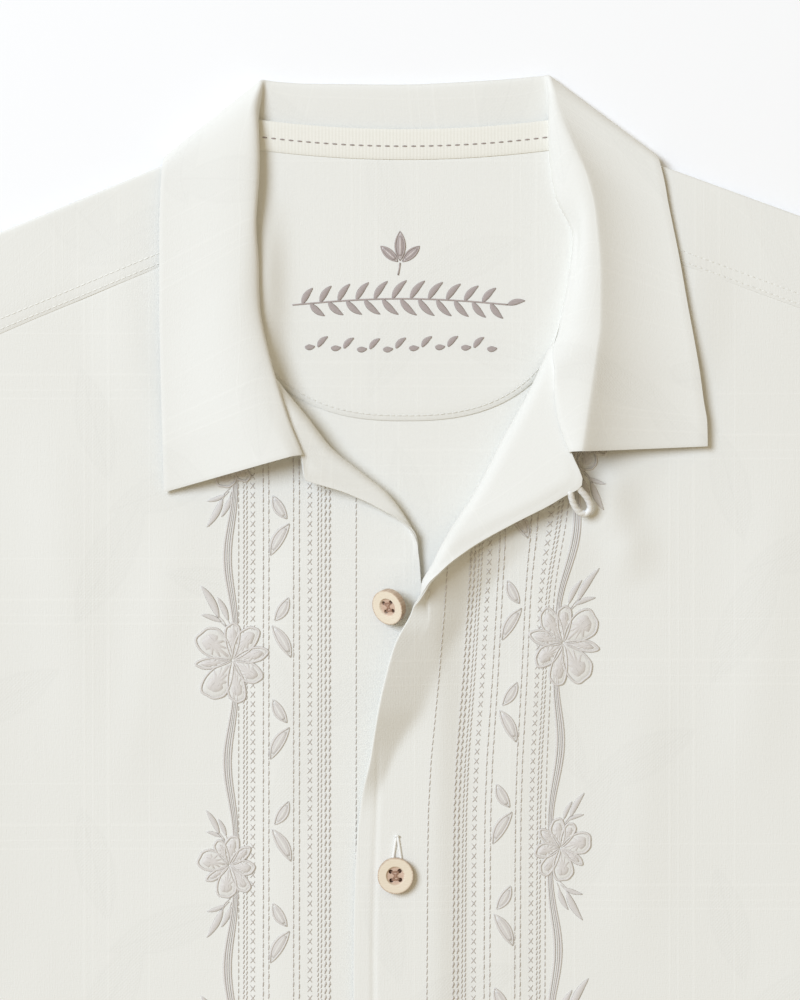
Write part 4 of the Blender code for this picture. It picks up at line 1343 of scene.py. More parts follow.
class Sewing:
    """Gathers stitches and ribbons, flat at first, and lays them on a ground as one piece."""

    def __init__(self):
        self.verts = []
        self.faces = []
        self.uvs = []
        self.tones = []
        self.count = 0
        # Number of the finish that what is added next gets
        self.tone = 0

    def add(self, verts, faces, uvs):
        self.verts.append(verts)
        self.uvs.append(uvs)
        self.faces.extend(tuple(n + self.count for n in face) for face in faces)
        self.tones.extend([self.tone] * len(faces))
        self.count += len(verts)

    def stitches(self, starts, ends, width=0.45, height=0.35, sink=0.3):
        starts, ends = np.asarray(starts, float), np.asarray(ends, float)
        run = ends - starts
        length = np.linalg.norm(run, axis=1, keepdims=True)
        run = run / np.maximum(length, 1e-9)
        side = np.stack([-run[:, 1], run[:, 0]], axis=1)
        middle = (starts + ends) / 2.0
        u = UNIT_VERTS[:, 0][None, :, None] * length[:, :, None]
        v = UNIT_VERTS[:, 1][None, :, None] * width
        flat = middle[:, None, :] + run[:, None, :] * u + side[:, None, :] * v
        lift = (UNIT_VERTS[:, 2] + sink) * height
        for k in range(len(starts)):
            verts = np.column_stack([flat[k], lift])
            self.add(verts, UNIT_FACES, np.column_stack([u[k, :, 0] * 0.4 + k * 3.7, v[0, :, 0]]))

    def ribbon(self, path, widths, height=0.45, groove=0.0):
        """Satin stitch along a path. widths is one number, or one for each point."""
        path = np.asarray(path, float)
        widths = np.broadcast_to(np.asarray(widths, float), (len(path),))
        run = np.gradient(path, axis=0)
        run /= np.linalg.norm(run, axis=1, keepdims=True) + 1e-9
        side = np.stack([-run[:, 1], run[:, 0]], axis=1)
        length = run_length(path)
        across = np.array([-0.5, -0.3, 0.0, 0.3, 0.5])
        rise = np.array([-0.1, 0.85, 1.0 - groove, 0.85, -0.1])
        v = across[None, :] * widths[:, None]
        flat = path[:, None, :] + side[:, None, :] * v[:, :, None]
        full = np.minimum(1.0, widths / 0.7)[:, None]
        lift = rise[None, :] * height * full
        verts = np.concatenate([flat, lift[:, :, None]], axis=2).reshape(-1, 3)
        # The threads of a grooved ribbon slant away from its middle
        slant = 1.2 if groove else 0.0
        u = length[:, None] + np.abs(across[None, :]) * widths[:, None] * slant
        uvs = np.stack([u, v], axis=2).reshape(-1, 2)
        self.add(verts, tube_faces(len(path), len(across)), uvs)

    def fill(self, outline, heart, height=0.3, rings=(0.35, 0.7, 0.97)):
        """A low dome of satin stitch inside a closed outline, round a point at its heart."""
        outline, heart = np.asarray(outline, float), np.asarray(heart, float)
        count = len(outline)
        verts = [np.append(heart, height)]
        for share in rings:
            lift = height * (1.0 - 0.55 * share ** 3)
            verts.extend(np.column_stack([heart + (outline - heart) * share, np.full(count, lift)]))
        verts.extend(np.column_stack([outline, np.full(count, -0.1)]))
        faces = [(0, 1 + k, 1 + (k + 1) % count) for k in range(count)]
        for ring in range(len(rings)):
            a, b = 1 + ring * count, 1 + (ring + 1) * count
            faces.extend((a + k, b + k, b + (k + 1) % count, a + (k + 1) % count)
                         for k in range(count))
        verts = np.array(verts)
        self.add(verts, faces, verts[:, :2] - heart)

    def lay(self, name, ground, finishes, lean=None, lift=0.0):
        """Lays everything on the ground and makes the piece."""
        verts = np.concatenate(self.verts)
        if lean is not None:
            verts[:, 0] += lean(verts[:, 0], verts[:, 1])
        verts[:, 2] += ground(verts[:, 0], verts[:, 1]) + lift
        piece = link_mesh(name, verts, self.faces, np.concatenate(self.uvs))
        for finish in finishes:
            piece.data.materials.append(finish)
        piece.data.polygons.foreach_set("material_index", self.tones)
        use_only(piece)
        bpy.ops.object.mode_set(mode="EDIT")
        bpy.ops.mesh.select_all(action="SELECT")
        bpy.ops.mesh.normals_make_consistent(inside=False)
        bpy.ops.object.mode_set(mode="OBJECT")
        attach(piece, "root")
        triangles = sum(len(p.vertices) - 2 for p in piece.data.polygons)
        print(name, "triangles:", triangles)
        return piece


def along(path, pitch, length, start=0.0):
    """Starts and ends of stitches of one length and pitch along a path."""
    path = np.asarray(path, float)
    reach = run_length(path)
    places = np.arange(start, reach[-1] - length, pitch)

    def at(distance):
        return np.stack([np.interp(distance, reach, path[:, axis]) for axis in (0, 1)], axis=1)

    return at(places), at(places + length)


print("faces of a ribbon of 10 points:", len(tube_faces(10, 5)))


# %% [markdown]
# ## Embroidery of the fronts
# Two bands of machine embroidery run down the shirt, mirrored on the centre. From the centre
# out a band has close rows of rope and chain stitch, a row of crosses, two broken lines, a
# ladder of small leaf pairs, two broken lines again, crosses, rope, and a scalloped vine with a
# blossom at each of its dips. Blossoms of two sizes take turns. Each row is a short table entry,
# and its stitches are placed by their pitch.

# %% Rows of the band, by distance from the placket's broken line
BAND_LOW = HEM_Y + 4.0
BAND_HIGH = 258.0
# Kinds of rows. Each gives its rows' distances, its pitch, how much later the rows start, and
# the stitches of one repeat: x and y of their start and end, then width and height
CHAIN = ((10.5, 12.2), 2.69, (0.0, 0.0),
         ((-0.34, -0.1, 0.16, 2.3, 0.62, 0.5), (0.42, 0.9, 0.0, 2.35, 0.5, 0.42)))
ROPE = ((13.9, 15.2, 43.7, 44.9), 2.0, (0.0, 0.5, 1.0, 1.5),
        ((-0.24, 0.0, 0.24, 1.75, 0.5, 0.45),))
CROSS = ((18.5, 41.3), 3.79, (0.0, 0.0),
         ((0.98, 0.2, -0.98, 2.8, 0.42, 0.4), (-0.98, 0.2, 0.98, 2.8, 0.42, 0.4)))
BROKEN = ((22.7, 25.0, 34.9, 37.1), 3.87, (0.0, 0.8, 0.0, 0.8),
          ((-0.08, 0.0, 0.08, 2.35, 0.56, 0.46), (0.0, 2.5, 0.0, 3.65, 0.34, 0.32)))
DASH = ((47.0,), 2.69, (0.0,), ((0.0, 0.0, 0.0, 2.1, 0.48, 0.42),))
PLACKET = ((0.0,), 2.69, (0.0,), ((-0.12, 0.0, 0.12, 2.3, 0.5, 0.4),))
ROW_KINDS = (CHAIN, ROPE, CROSS, BROKEN, DASH, PLACKET)
BAND_START = {-1: 19.6, 1: 9.0}
# The other band sits this much higher
BAND_SHIFT = {-1: 0.0, 1: 6.9}
# The top of a wearer's left row leans out with the turned edge
LEAN_PLACES = (-400.0, 29.6, 85.0, 105.0, 125.6, 157.6, 181.0, 205.6, 240.0)
LEAN_AMOUNTS = (-0.4, -0.4, -0.1, 0.2, 1.3, 4.4, 6.3, 8.2, 11.0)
# and less so the further it is from the edge
LEAN_X = (8.0, 20.0, 38.0, 62.0, 90.0)
LEAN_SHARES = (1.0, 0.82, 0.62, 0.42, 0.3)


def left_lean(x, y):
    lean = np.interp(y, LEAN_PLACES, LEAN_AMOUNTS) * np.interp(x, LEAN_X, LEAN_SHARES)
    return lean + 5.0 * smooth(186.0, 236.0, y) * smooth(36.0, 58.0, x)


def roll_line(rows):
    table = np.array(rows)
    return lambda y: np.interp(y, table[:, 2], table[:, 1])


RIGHT_ROLL = roll_line(FRONT_RIGHT_ROWS)
LEFT_ROLL = roll_line(FRONT_LEFT_ROWS)


def on_panel(side, x, y, margin=1.5):
    """True where the cloth isn't turned over yet."""
    if side < 0:
        return -x > -RIGHT_ROLL(y) * (y > 200.0) + margin
    return x + left_lean(x, y) > np.where(y > 190.0, LEFT_ROLL(y), -50.0) + margin


def upright_row(side, distance, pitch, phase):
    """Places of a row, from the hem up, where the cloth isn't turned over."""
    x = side * (BAND_START[side] + distance)
    y = np.arange(BAND_LOW + phase, BAND_HIGH, pitch)
    keep = on_panel(side, np.full_like(y, x), y)
    return np.stack([np.full(keep.sum(), x), y[keep]], axis=1)


print("rows in a band:", sum(len(kind[0]) for kind in ROW_KINDS))

# %% Straight rows of both bands
BANDS = (("right", -1, right_ground, None), ("left", 1, left_ground, left_lean))


def sew_rows(sewing, side):
    for distances, pitch, phases, stitches in ROW_KINDS:
        for distance, phase in zip(distances, phases):
            places = upright_row(side, distance, pitch, phase)
            for x0, y0, x1, y1, width, height in stitches:
                sewing.stitches(places + np.array((x0, y0)), places + np.array((x1, y1)),
                                width, height)


for name, side, ground, lean in BANDS:
    sewing = Sewing()
    sew_rows(sewing, side)
    sewing.lay("embroidered_rows_" + name, ground, [STITCH], lean=lean)

# %% [markdown]
# Leaves, vine and blossoms are drawn by formula. A leaf is two curved sides that meet in two
# points. A blossom has five broad petals whose ends are gently ruffled: each gets an outline of
# satin stitch, a fan of short strands on its middle, and bare cloth between the two.

# %% Leaves and vine
LADDER_FIRST = 180.4
LADDER_PITCH = 40.7
LADDER_INNER = 26.6
LADDER_OUTER = 33.6
VINE_DISTANCE = {-1: 49.4, 1: 50.2}
VINE_SWING = 1.7
BLOSSOM_FIRST = 165.6
BLOSSOM_PITCH = 82.0
BLOSSOM_DISTANCE = {-1: 49.4, 1: 51.8}
# The vine's strands: distance from its middle, width, finish
VINE_STRANDS = ((-1.35, 1.1, 0), (-0.45, 0.8, 1), (0.35, 1.0, 0), (1.3, 1.1, 0))
LEAF_POINTS = 14


def leaf_path(base, tip, bow, points=LEAF_POINTS):
    """From base to tip in a curve that bows to the left of its run."""
    base, tip = np.asarray(base, float), np.asarray(tip, float)
    run = tip - base
    t = np.linspace(0.0, 1.0, points)[:, None]
    side = np.array((-run[1], run[0]))
    return base + run * t + side * (bow * 4.0 * t * (1.0 - t))


def outlined_leaf(sewing, base, tip, fat=0.17, bow=0.06, thick=1.0):
    """An open leaf: two satin sides, a pale middle and a thin midrib. Its last tone stays."""
    ends = np.sin(np.linspace(0.06, 0.94, LEAF_POINTS) * math.pi) ** 0.5
    one, other = leaf_path(base, tip, fat + bow), leaf_path(base, tip, -fat + bow)
    sewing.tone = 1
    heart = leaf_path(base, tip, bow, 3)[1]
    sewing.fill(np.vstack([one[1:-1], other[-2:0:-1]]), heart, 0.22, (0.6, 0.95))
    sewing.tone = 0
    length = float(np.linalg.norm(np.asarray(tip, float) - base))
    middle = leaf_path(base, tip, bow)[2:-2]
    widths = 2.1 * fat * length * np.sin(np.linspace(0.12, 0.9, len(middle)) * math.pi)
    sewing.ribbon(middle, widths, 0.4, groove=0.6)
    sewing.ribbon(one, thick * ends)
    sewing.ribbon(other, thick * 1.2 * ends)


def filled_leaf(sewing, base, tip, width, bow=0.05):
    """A leaf full of satin stitch, with a groove for its midrib."""
    t = np.clip(np.linspace(0.0, 1.0, LEAF_POINTS) * 0.97 + 0.02, 0, 1)
    widths = width * np.sin(t ** 0.85 * math.pi) ** 0.8 + 0.1
    sewing.ribbon(leaf_path(base, tip, bow), widths, 0.5, groove=0.45)


def sew_ladder(sewing, side):
    """Pairs of leaves that spring from the two broken lines in turn."""
    for k in range(-16, 4):
        y = LADDER_FIRST + BAND_SHIFT[side] + k * LADDER_PITCH
        if not BAND_LOW + 12.0 < y < 236.0:
            continue
        outer_first = k % 2 == 0
        start = LADDER_OUTER if outer_first else LADDER_INNER
        reach = -6.6 if outer_first else 6.6

        def place(dx, dy):
            return side * (BAND_START[side] + start + dx), y + dy

        if not on_panel(side, place(0.0, 0.0)[0], y, 6.0):
            continue
        bow = 0.05 * side * (1 if outer_first else -1)
        outlined_leaf(sewing, place(reach * 0.16, 1.0), place(reach, 10.2), bow=bow)
        outlined_leaf(sewing, place(0.0, -1.0), place(reach * 1.15, -13.6), fat=0.135, bow=-bow)


def vine_phase(side, y):
    return (y - BLOSSOM_FIRST - BAND_SHIFT[side]) / BLOSSOM_PITCH * 2.0 * math.pi


def vine_x(side, y, distance):
    """The vine dips in at each blossom and swings out between them."""
    phase = vine_phase(side, y)
    swing = VINE_SWING * (np.cos(phase) - 0.25 * np.cos(2.0 * phase))
    return side * (BAND_START[side] + distance - swing)


def sew_vine(sewing, side):
    y = np.arange(BAND_LOW, BAND_HIGH, 1.5)
    y = y[on_panel(side, np.full_like(y, side * (BAND_START[side] + VINE_DISTANCE[side])), y, 3.0)]
    spread = 0.75 - 0.25 * np.cos(vine_phase(side, y))
    for strand, width, tone in VINE_STRANDS:
        sewing.tone = tone
        x = vine_x(side, y, VINE_DISTANCE[side]) + side * strand * spread
        sewing.ribbon(np.stack([x, y], axis=1), width * spread, 0.4)


print("strands of the vine:", len(VINE_STRANDS))


# %% Blossoms
# Angle in degrees, length and width as shares of the blossom's size: broad petals, and
# narrower ones that turn their edge
PETALS = ((139.0, 1.14, 0.80), (90.0, 1.0, 0.42), (55.0, 1.05, 0.56), (14.0, 0.94, 0.42),
          (-36.0, 0.9, 0.56), (-82.0, 1.16, 0.50), (-124.0, 1.2, 0.76), (-172.0, 0.96, 0.30))
# Strands on a petal: finish, places across, first and last share of its length, how much the
# last one sways and by which step, spread, width, height
PETAL_STRANDS = ((0, (-0.45, 0.1, 0.5), 0.30, 0.56, 0.08, 2.0, 1.3, 0.55, 0.55),
                 (2, (-0.3, 0.3), 0.52, 0.80, 0.05, 3.0, 1.2, 0.3, 1.4))
PETAL_POINTS = 46


def petal_outline(length, width, phase, points=PETAL_POINTS):
    """A ruffled petal that points along x: out and across from the blossom's middle."""
    angle = np.linspace(0.05, 0.95, points) * 2.0 * math.pi
    out = length * (1.0 - np.cos(angle)) / 2.0
    across = width / 2.0 * np.sin(angle) * (out / length) ** 0.4 * 1.12
    edge = smooth(0.4, 0.85, out / length)
    wave = edge * (0.035 * np.sin(3.0 * angle + phase) + 0.012 * np.sin(7.0 * angle + 2.3 * phase))
    return np.stack([out * (1.0 + wave), across * (1.0 + 1.3 * wave)], axis=1)


def sew_petal(sewing, centre, degrees, length, width, phase):
    """A pale ground, a ragged patch of strands on its outer half, and a satin outline."""
    turn = math.radians(degrees)
    axis = np.array((math.cos(turn), math.sin(turn)))
    frame = np.stack([axis, np.array((-axis[1], axis[0]))])
    outline = petal_outline(length, width, phase)
    sewing.tone = 1
    sewing.fill(centre + outline @ frame, centre + axis * length * 0.6,
                0.34 + 0.03 * math.sin(phase))
    sewing.tone = 0
    heart = np.array((length * 0.62, 0.03 * width * math.sin(2.0 * phase)))
    out = outline[:, 0] / length
    ragged = (1.0 - smooth(0.45, 0.75, out)) * np.where(np.arange(len(out)) % 4 < 2, 1.0, -1.0)
    share = 0.72 + 0.13 * ragged * (1.0 + 0.4 * np.sin(2.7 * np.arange(len(out)) + phase))
    inner = heart + (outline - heart) * share[:, None]
    sewing.fill(centre + inner @ frame, centre + heart @ frame, 0.5, (0.45, 0.95))
    for tone, places, first, last, sway, step, spread, wide, high in PETAL_STRANDS:
        sewing.tone = tone
        widths = wide * np.sin(np.linspace(0.15, 0.85, 6) * math.pi)
        for k, place in enumerate(places):
            reach = np.linspace(first, last + sway * math.sin(phase + step * k), 6) * length
            across = place * width * 0.34 * (reach / length) ** 0.8 * spread
            sewing.ribbon(centre + np.stack([reach, across], axis=1) @ frame, widths, high)
    sewing.tone = 0
    thick = 0.75 + 0.4 * smooth(0.2, 0.8, out)
    number = np.arange(PETAL_POINTS)
    taper = np.clip(np.minimum(number, number[::-1]) / 5.0 + 0.3, 0, 1)
    sewing.ribbon(centre + outline @ frame, thick * taper, 0.62)


def sew_blossom(sewing, centre, size, side, turn):
    centre = np.asarray(centre, float)
    for number, (degrees, long, broad) in enumerate(PETALS):
        angle = degrees + turn
        mirrored = 180.0 - angle if side > 0 else angle
        phase = 1.3 * number + 0.05 * size
        sew_petal(sewing, centre, mirrored, size * long, size * broad, phase)


print("petals:", len(PETALS))

# %% Sprigs, and the motifs of both bands
LARGE_BLOSSOM = 14.9
SMALL_BLOSSOM = 11.0
# Three leaves from base to tip, and their width, for a blossom of this size
SPRIG_SIZE = 16.0
SPRIG_LEAVES = ((6.0, 18.3, 13.6, 32.0, 3.5), (2.0, 17.2, 6.6, 27.0, 2.7),
                (4.8, 16.4, 13.6, 19.4, 2.3))


def sew_sprig(sewing, centre, side, up, size):
    """Three leaves that spring from behind a blossom."""
    centre = np.asarray(centre, float)
    sewing.tone = 0
    for x0, y0, x1, y1, width in SPRIG_LEAVES:
        base = centre + np.array((side * x0, up * y0)) * size / SPRIG_SIZE
        tip = centre + np.array((side * x1, up * y1)) * size / SPRIG_SIZE
        filled_leaf(sewing, base, tip, width * size / SPRIG_SIZE, 0.05 * side * up)
        stem = centre + np.array((side * x0 * 0.45, up * y0 * 0.8)) * size / SPRIG_SIZE
        sewing.ribbon(leaf_path(stem, base + (tip - base) * 0.1, 0.05 * side, 6), 0.5, 0.4)


def sew_blossoms(sewing, side):
    """Large and small blossoms in turn. A small one has sprigs both ways, and is turned."""
    for k in range(-7, 2):
        y = BLOSSOM_FIRST + BAND_SHIFT[side] + k * BLOSSOM_PITCH
        if y - 20.0 < BAND_LOW or y > 257.0:
            continue
        large = k % 2 == 0
        size = LARGE_BLOSSOM if large else SMALL_BLOSSOM
        x = side * (BAND_START[side] + BLOSSOM_DISTANCE[side] + (0.0 if large else 1.3))
        sew_sprig(sewing, (x, y), side, 1, size)
        if not large:
            sew_sprig(sewing, (x - side * 2.2, y - 2.5), side, -1, size * 1.2)
        sew_blossom(sewing, (x, y), size, side, 0.0 if large else 27.0)


for name, side, ground, lean in BANDS:
    sewing = Sewing()
    sew_ladder(sewing, side)
    sew_vine(sewing, side)
    sew_blossoms(sewing, side)
    sewing.lay("embroidered_motifs_" + name, ground, [SATIN, SATIN_PALE, STITCH],
               lean=lean)

# %% [markdown]
# ## Seams
# Every seam of the shirt is topstitched with thread in the cloth's own colour: two rows beside
# the forward shoulder seams, one round the patch, and one along armholes, hem and cuffs. The
# rows are the same small stitches, laid along a path on the sheet that they hold. The tape in
# the neck is the exception: its stitches are dark and show.

# %% Topstitching in the cloth's colour
STITCH_PITCH = 2.5
STITCH_LENGTH = 2.1
# Two rows above the end of a shoulder strip, and where they start and end along it
STRIP_ROWS = (1.5, 5.6)
STRIP_ROW_START = 72.0
STRIP_ROW_END = 236.0


def sew_line(sewing, path, width=0.5, height=0.2, pitch=STITCH_PITCH, length=STITCH_LENGTH):
    starts, ends = along(path, pitch, length)
    sewing.stitches(starts, ends, width, height)


def strip_line(side, above, first, last):
    """A line that runs above the end of a shoulder strip, at the same distance all the way."""
    x = np.linspace(first, last, 60)
    end_y = np.array([shoulder_y(side * a) for a in x]) - STRIP_DEPTH[side] - SEAM_LAP
    return np.stack([side * x, end_y + above], axis=1)


def strip_ground(side):
    columns = [k for k in range(back_points.shape[1])
               if side * back_points[0, k, 0] > 0 and not np.isnan(back_points[-1, k, 0])]
    return Ground(back_points[-STRIP_STEPS - 1:, columns])


def sew_shoulder(side, name):
    ground = strip_ground(side)
    sewing = Sewing()
    for above in STRIP_ROWS:
        sew_line(sewing, strip_line(side, above, STRIP_ROW_START, STRIP_ROW_END))
    low = strip_line(side, 2.0, STRIP_ROW_END, 244.0)[0]
    sew_line(sewing, np.array((low, (side * 246.0, shoulder_y(side * 246.0) - 4.0))))
    sewing.lay(name, ground.at, [TONAL], lift=CLOTH_THICK)


sew_shoulder(-1, "topstitch_shoulder_right")
sew_shoulder(1, "topstitch_shoulder_left")


# %% Hem, side seams and armholes of the body
HEM_DEPTH = 20.0
SEAM_MARGIN = 5.5


def body_line(side, margin, low, high, count=80):
    """A line inside the side seam and armhole."""
    y = np.linspace(low, high, count)
    return np.stack([side * (np.array([half_width(b) for b in y]) - margin), y], axis=1)


def sew_body(side, ground, name):
    sewing = Sewing()
    inner = -4.0 if side < 0 else -15.0
    sew_line(sewing, ((inner, HEM_Y + HEM_DEPTH), (side * (HEM_HALF - 3.0), HEM_Y + HEM_DEPTH)))
    sew_line(sewing, body_line(side, SEAM_MARGIN, HEM_Y + HEM_DEPTH, UNDERARM_Y - 2.0))
    sew_line(sewing, body_line(side, SEAM_MARGIN, UNDERARM_Y + 4.0, 256.0 if side < 0 else 264.0))
    sewing.lay(name, ground, [TONAL])


sew_body(-1, right_ground, "topstitch_right")
sew_body(1, left_ground, "topstitch_left")

# %% The same seams on the back, which face the floor
sewing = Sewing()
sew_line(sewing, ((-HEM_HALF + 3.0, HEM_Y + HEM_DEPTH), (HEM_HALF - 3.0, HEM_Y + HEM_DEPTH)))
for side in (-1, 1):
    sew_line(sewing, body_line(side, SEAM_MARGIN, HEM_Y + HEM_DEPTH, UNDERARM_Y - 2.0))
    sew_line(sewing, body_line(side, SEAM_MARGIN, UNDERARM_Y + 4.0, 286.0))


def below_back(x, y):
    return back_top(y) - CLOTH_THICK


sewing.lay("topstitch_back", below_back, [TONAL], lift=-0.05)

# %% Cuffs
CUFF_HEM = 22.0


def sew_cuff(points, name):
    """One row round the cuff, on the sleeve's upper layer."""
    upper = points[:, :SLEEVE_WIDTH_STEPS + 1]
    ground = Ground(upper)
    row = (1.0 - CUFF_HEM / SLEEVE_LONG) * SLEEVE_LENGTH_STEPS
    k = int(row)
    path = upper[k] * (1.0 - row + k) + upper[k + 1] * (row - k)
    sewing = Sewing()
    sew_line(sewing, path[1:-1, :2])
    sewing.lay(name, ground.at, [TONAL], lift=CLOTH_THICK)


sew_cuff(sleeve_right_points, "topstitch_cuff_right")
sew_cuff(sleeve_left_points, "topstitch_cuff_left")

# %% Patch and tape
PATCH_MARGIN = 1.9
TAPE_STITCH_ABOVE = 5.2
patch_sewing = Sewing()
x = np.linspace(-62.0, 62.0, 90)
edge_y = np.array([patch_low_y(a) for a in x])
run = np.gradient(np.stack([x, edge_y], axis=1), axis=0)
run /= np.linalg.norm(run, axis=1, keepdims=True)
inwards = np.stack([-run[:, 1], run[:, 0]], axis=1)
sew_line(patch_sewing, np.stack([x, edge_y], axis=1) + inwards * PATCH_MARGIN, 0.45, 0.1)
patch_sewing.lay("topstitch_patch", patch_ground, [TONAL])
tape_sewing = Sewing()
x = np.linspace(-57.0, 57.6, 60)
line = np.stack([x, np.array([tape_low_y(a) for a in x]) + TAPE_STITCH_ABOVE], axis=1)
sew_line(tape_sewing, line, 0.7, 0.3, 3.5, 2.1)


def tape_ground(x, y):
    return tape_height((y - tape_low_y(x)) / TAPE_WIDTH) + TAPE_THICK


tape_sewing.lay("tape_stitch", tape_ground, [NECK_THREAD])


# %% [markdown]
# ## Spray of leaves inside the neck
# The middle of the patch carries a small embroidered design. It is a plain spray of leaves, in
# the taupe thread of the tape's stitches: one long stem that bends like a low wave, with slim
# leaves in pairs, three short leaves on their own above it, and a row of small leaves below.

# %% Sewing the spray
STEM_Y = 307.0
STEM_SWING = 3.0
STEM_WAVE = 31.0
STEM_START = -50.0


def stem_y(x):
    return STEM_Y + STEM_SWING * np.sin((x - STEM_START) / STEM_WAVE)


spray = Sewing()
x = np.linspace(-45.0, 41.0, 60)
spray.ribbon(np.stack([x, stem_y(x)], axis=1), 0.7, 0.4)
for base_x in np.arange(-41.0, 38.0, 7.2):
    slope = math.atan(STEM_SWING / STEM_WAVE * math.cos((base_x - STEM_START) / STEM_WAVE))
    reach = 9.4 - 0.045 * abs(base_x + 2.0)
    for turn in (52.0, -46.0):
        shift = 0.0 if turn > 0 else 3.2
        base = np.array((base_x + shift, float(stem_y(base_x + shift))))
        angle = slope + math.radians(turn)
        tip = base + reach * np.array((math.cos(angle), math.sin(angle)))
        filled_leaf(spray, base, tip, 2.7, 0.07 if turn > 0 else -0.07)
end = np.array((41.0, float(stem_y(41.0))))
filled_leaf(spray, end, end + np.array((7.0, 1.6)), 2.5, 0.05)
for turn, length in ((90.0, 13.0), (42.0, 10.5), (138.0, 10.5)):
    base = np.array((-2.0, 324.0))
    angle = math.radians(turn)
    out = np.array((math.cos(angle), math.sin(angle)))
    outlined_leaf(spray, base + 1.2 * out, base + length * out, fat=0.16, bow=0.0, thick=0.8)
spray.tone = 0
spray.ribbon(((-2.0, 324.4), (-2.3, 321.8), (-2.8, 319.4)), 0.7, 0.4)
for k, base_x in enumerate(np.arange(-40.0, 38.0, 5.2)):
    base = np.array((base_x, 290.4 + 0.5 * math.sin(base_x / 9.0)))
    rise, bow = (4.2, 0.09) if k % 2 else (0.2, -0.09)
    filled_leaf(spray, base, base + np.array((4.0, rise)), 2.4, bow)
spray.lay("neck_spray", patch_ground, [NECK_SATIN, NECK_SATIN_PALE])

# %% [markdown]
# ## Buttons and buttonholes
# Each button is turned from pale wood: a disc with a rounded rim, a shallow round well and four
# holes, sewn on with brown thread. It starts as a cylinder. The top face is inset and pushed
# down for the well, the holes are cut with a Boolean, and a small bevel softens every edge. The
# first button is undone, so it leans on its thread and shows its rim on one side.

# %% One button
BUTTON_RADIUS = 7.1
BUTTON_THICK = 3.0
WELL_RADIUS = 3.8
WELL_DEPTH = 0.75
HOLE_RADIUS = 0.85
HOLE_OFFSET = 1.75
HOLE_CORNERS = ((1, 1), (1, -1), (-1, 1), (-1, -1))
RIM_WIDTH = 0.9
# The face falls a little to the well, which has a flat edge and a sloping side
FACE_DIP = 0.12
WELL_EDGE = 0.5
WELL_SIDE = 0.55


def select_faces(mesh, test):
    """Selects only the faces that pass, in edit mode."""
    bpy.ops.mesh.select_all(action="DESELECT")
    bpy.ops.object.mode_set(mode="OBJECT")
    for face in mesh.polygons:
        face.select = test(face)
    bpy.ops.object.mode_set(mode="EDIT")


def add_cylinder(radius, depth, place, sides):
    bpy.ops.object.select_all(action="DESELECT")
    bpy.ops.mesh.primitive_cylinder_add(vertices=sides, radius=radius * MM, depth=depth * MM,
                                        location=tuple(c * MM for c in place))
    bpy.ops.object.transform_apply(location=True, rotation=True, scale=True)
    return bpy.context.object


def is_top(face):
    return face.normal.z > 0.9


def model_button():
    button = add_cylinder(BUTTON_RADIUS, BUTTON_THICK, (0.0, 0.0, BUTTON_THICK / 2.0), 64)
    bpy.ops.object.mode_set(mode="EDIT")
    bpy.ops.mesh.select_mode(type="FACE")
    select_faces(button.data, is_top)
    bpy.ops.mesh.inset(thickness=RIM_WIDTH * MM, depth=0.0)
    bpy.ops.mesh.inset(thickness=(BUTTON_RADIUS - RIM_WIDTH - WELL_RADIUS - WELL_EDGE) * MM,
                       depth=-FACE_DIP * MM)
    bpy.ops.mesh.inset(thickness=WELL_EDGE * MM, depth=0.0)
    bpy.ops.mesh.inset(thickness=WELL_SIDE * MM, depth=-WELL_DEPTH * MM)
    select_faces(button.data, lambda face: face.normal.z < -0.9)
    bpy.ops.mesh.inset(thickness=1.7 * MM, depth=0.0)
    bpy.ops.transform.translate(value=(0.0, 0.0, -0.5 * MM))
    bpy.ops.object.mode_set(mode="OBJECT")
    for dx, dy in HOLE_CORNERS:
        drill = add_cylinder(HOLE_RADIUS, 12.0, (dx * HOLE_OFFSET, dy * HOLE_OFFSET, 0.0), 20)
        hole = button.modifiers.new("hole", "BOOLEAN")
        hole.operation = "DIFFERENCE"
        hole.solver = "EXACT"
        hole.object = drill
        use_only(button)
        bpy.ops.object.modifier_apply(modifier=hole.name)
        bpy.data.objects.remove(drill, do_unlink=True)
    edge = button.modifiers.new("edge", "BEVEL")
    edge.width = 0.28 * MM
    edge.segments = 3
    edge.limit_method = "ANGLE"
    edge.angle_limit = math.radians(40)
    apply_all(button)
    bpy.ops.object.shade_smooth_by_angle(angle=math.radians(35))
    for layer in list(button.data.uv_layers):
        button.data.uv_layers.remove(layer)
    layer = button.data.uv_layers.new(name="cut")
    for loop in button.data.loops:
        co = button.data.vertices[loop.vertex_index].co
        layer.data[loop.index].uv = (co.x, co.y)
    return button


master = model_button()
print("button faces:", len(master.data.polygons))

# %% Thread of one button
# Two turns of thread cross the well each way, and one turn runs along each side of the square
thread_sewing = Sewing()
for side_a, side_b in (((-1, -1), (1, 1)), ((-1, 1), (1, -1)),
                       ((-1, -1), (1, -1)), ((-1, 1), (1, 1))):
    a = np.array(side_a) * HOLE_OFFSET
    b = np.array(side_b) * HOLE_OFFSET
    across = np.array((-(b - a)[1], (b - a)[0])) / np.linalg.norm(b - a)
    a, b = a * 0.92, b * 0.92
    for shift in (-0.19, 0.19):
        thread_sewing.stitches([a + across * shift], [b + across * shift], 0.36, 0.4, sink=0.5)
# Near-black plugs sunk into the four holes are painted shade
thread_sewing.tone = 1
for corner in HOLE_CORNERS:
    place = np.array(corner) * HOLE_OFFSET
    thread_sewing.stitches([place - (0.8, 0.0)], [place + (0.8, 0.0)], 1.5, 0.8, sink=-1.3)


def well_floor(x, y):
    return BUTTON_THICK - WELL_DEPTH - 0.15 + 0.0 * x


thread_master = thread_sewing.lay("thread_master", well_floor, [BUTTON_THREAD, HOLE_PAINTED_SHADE])
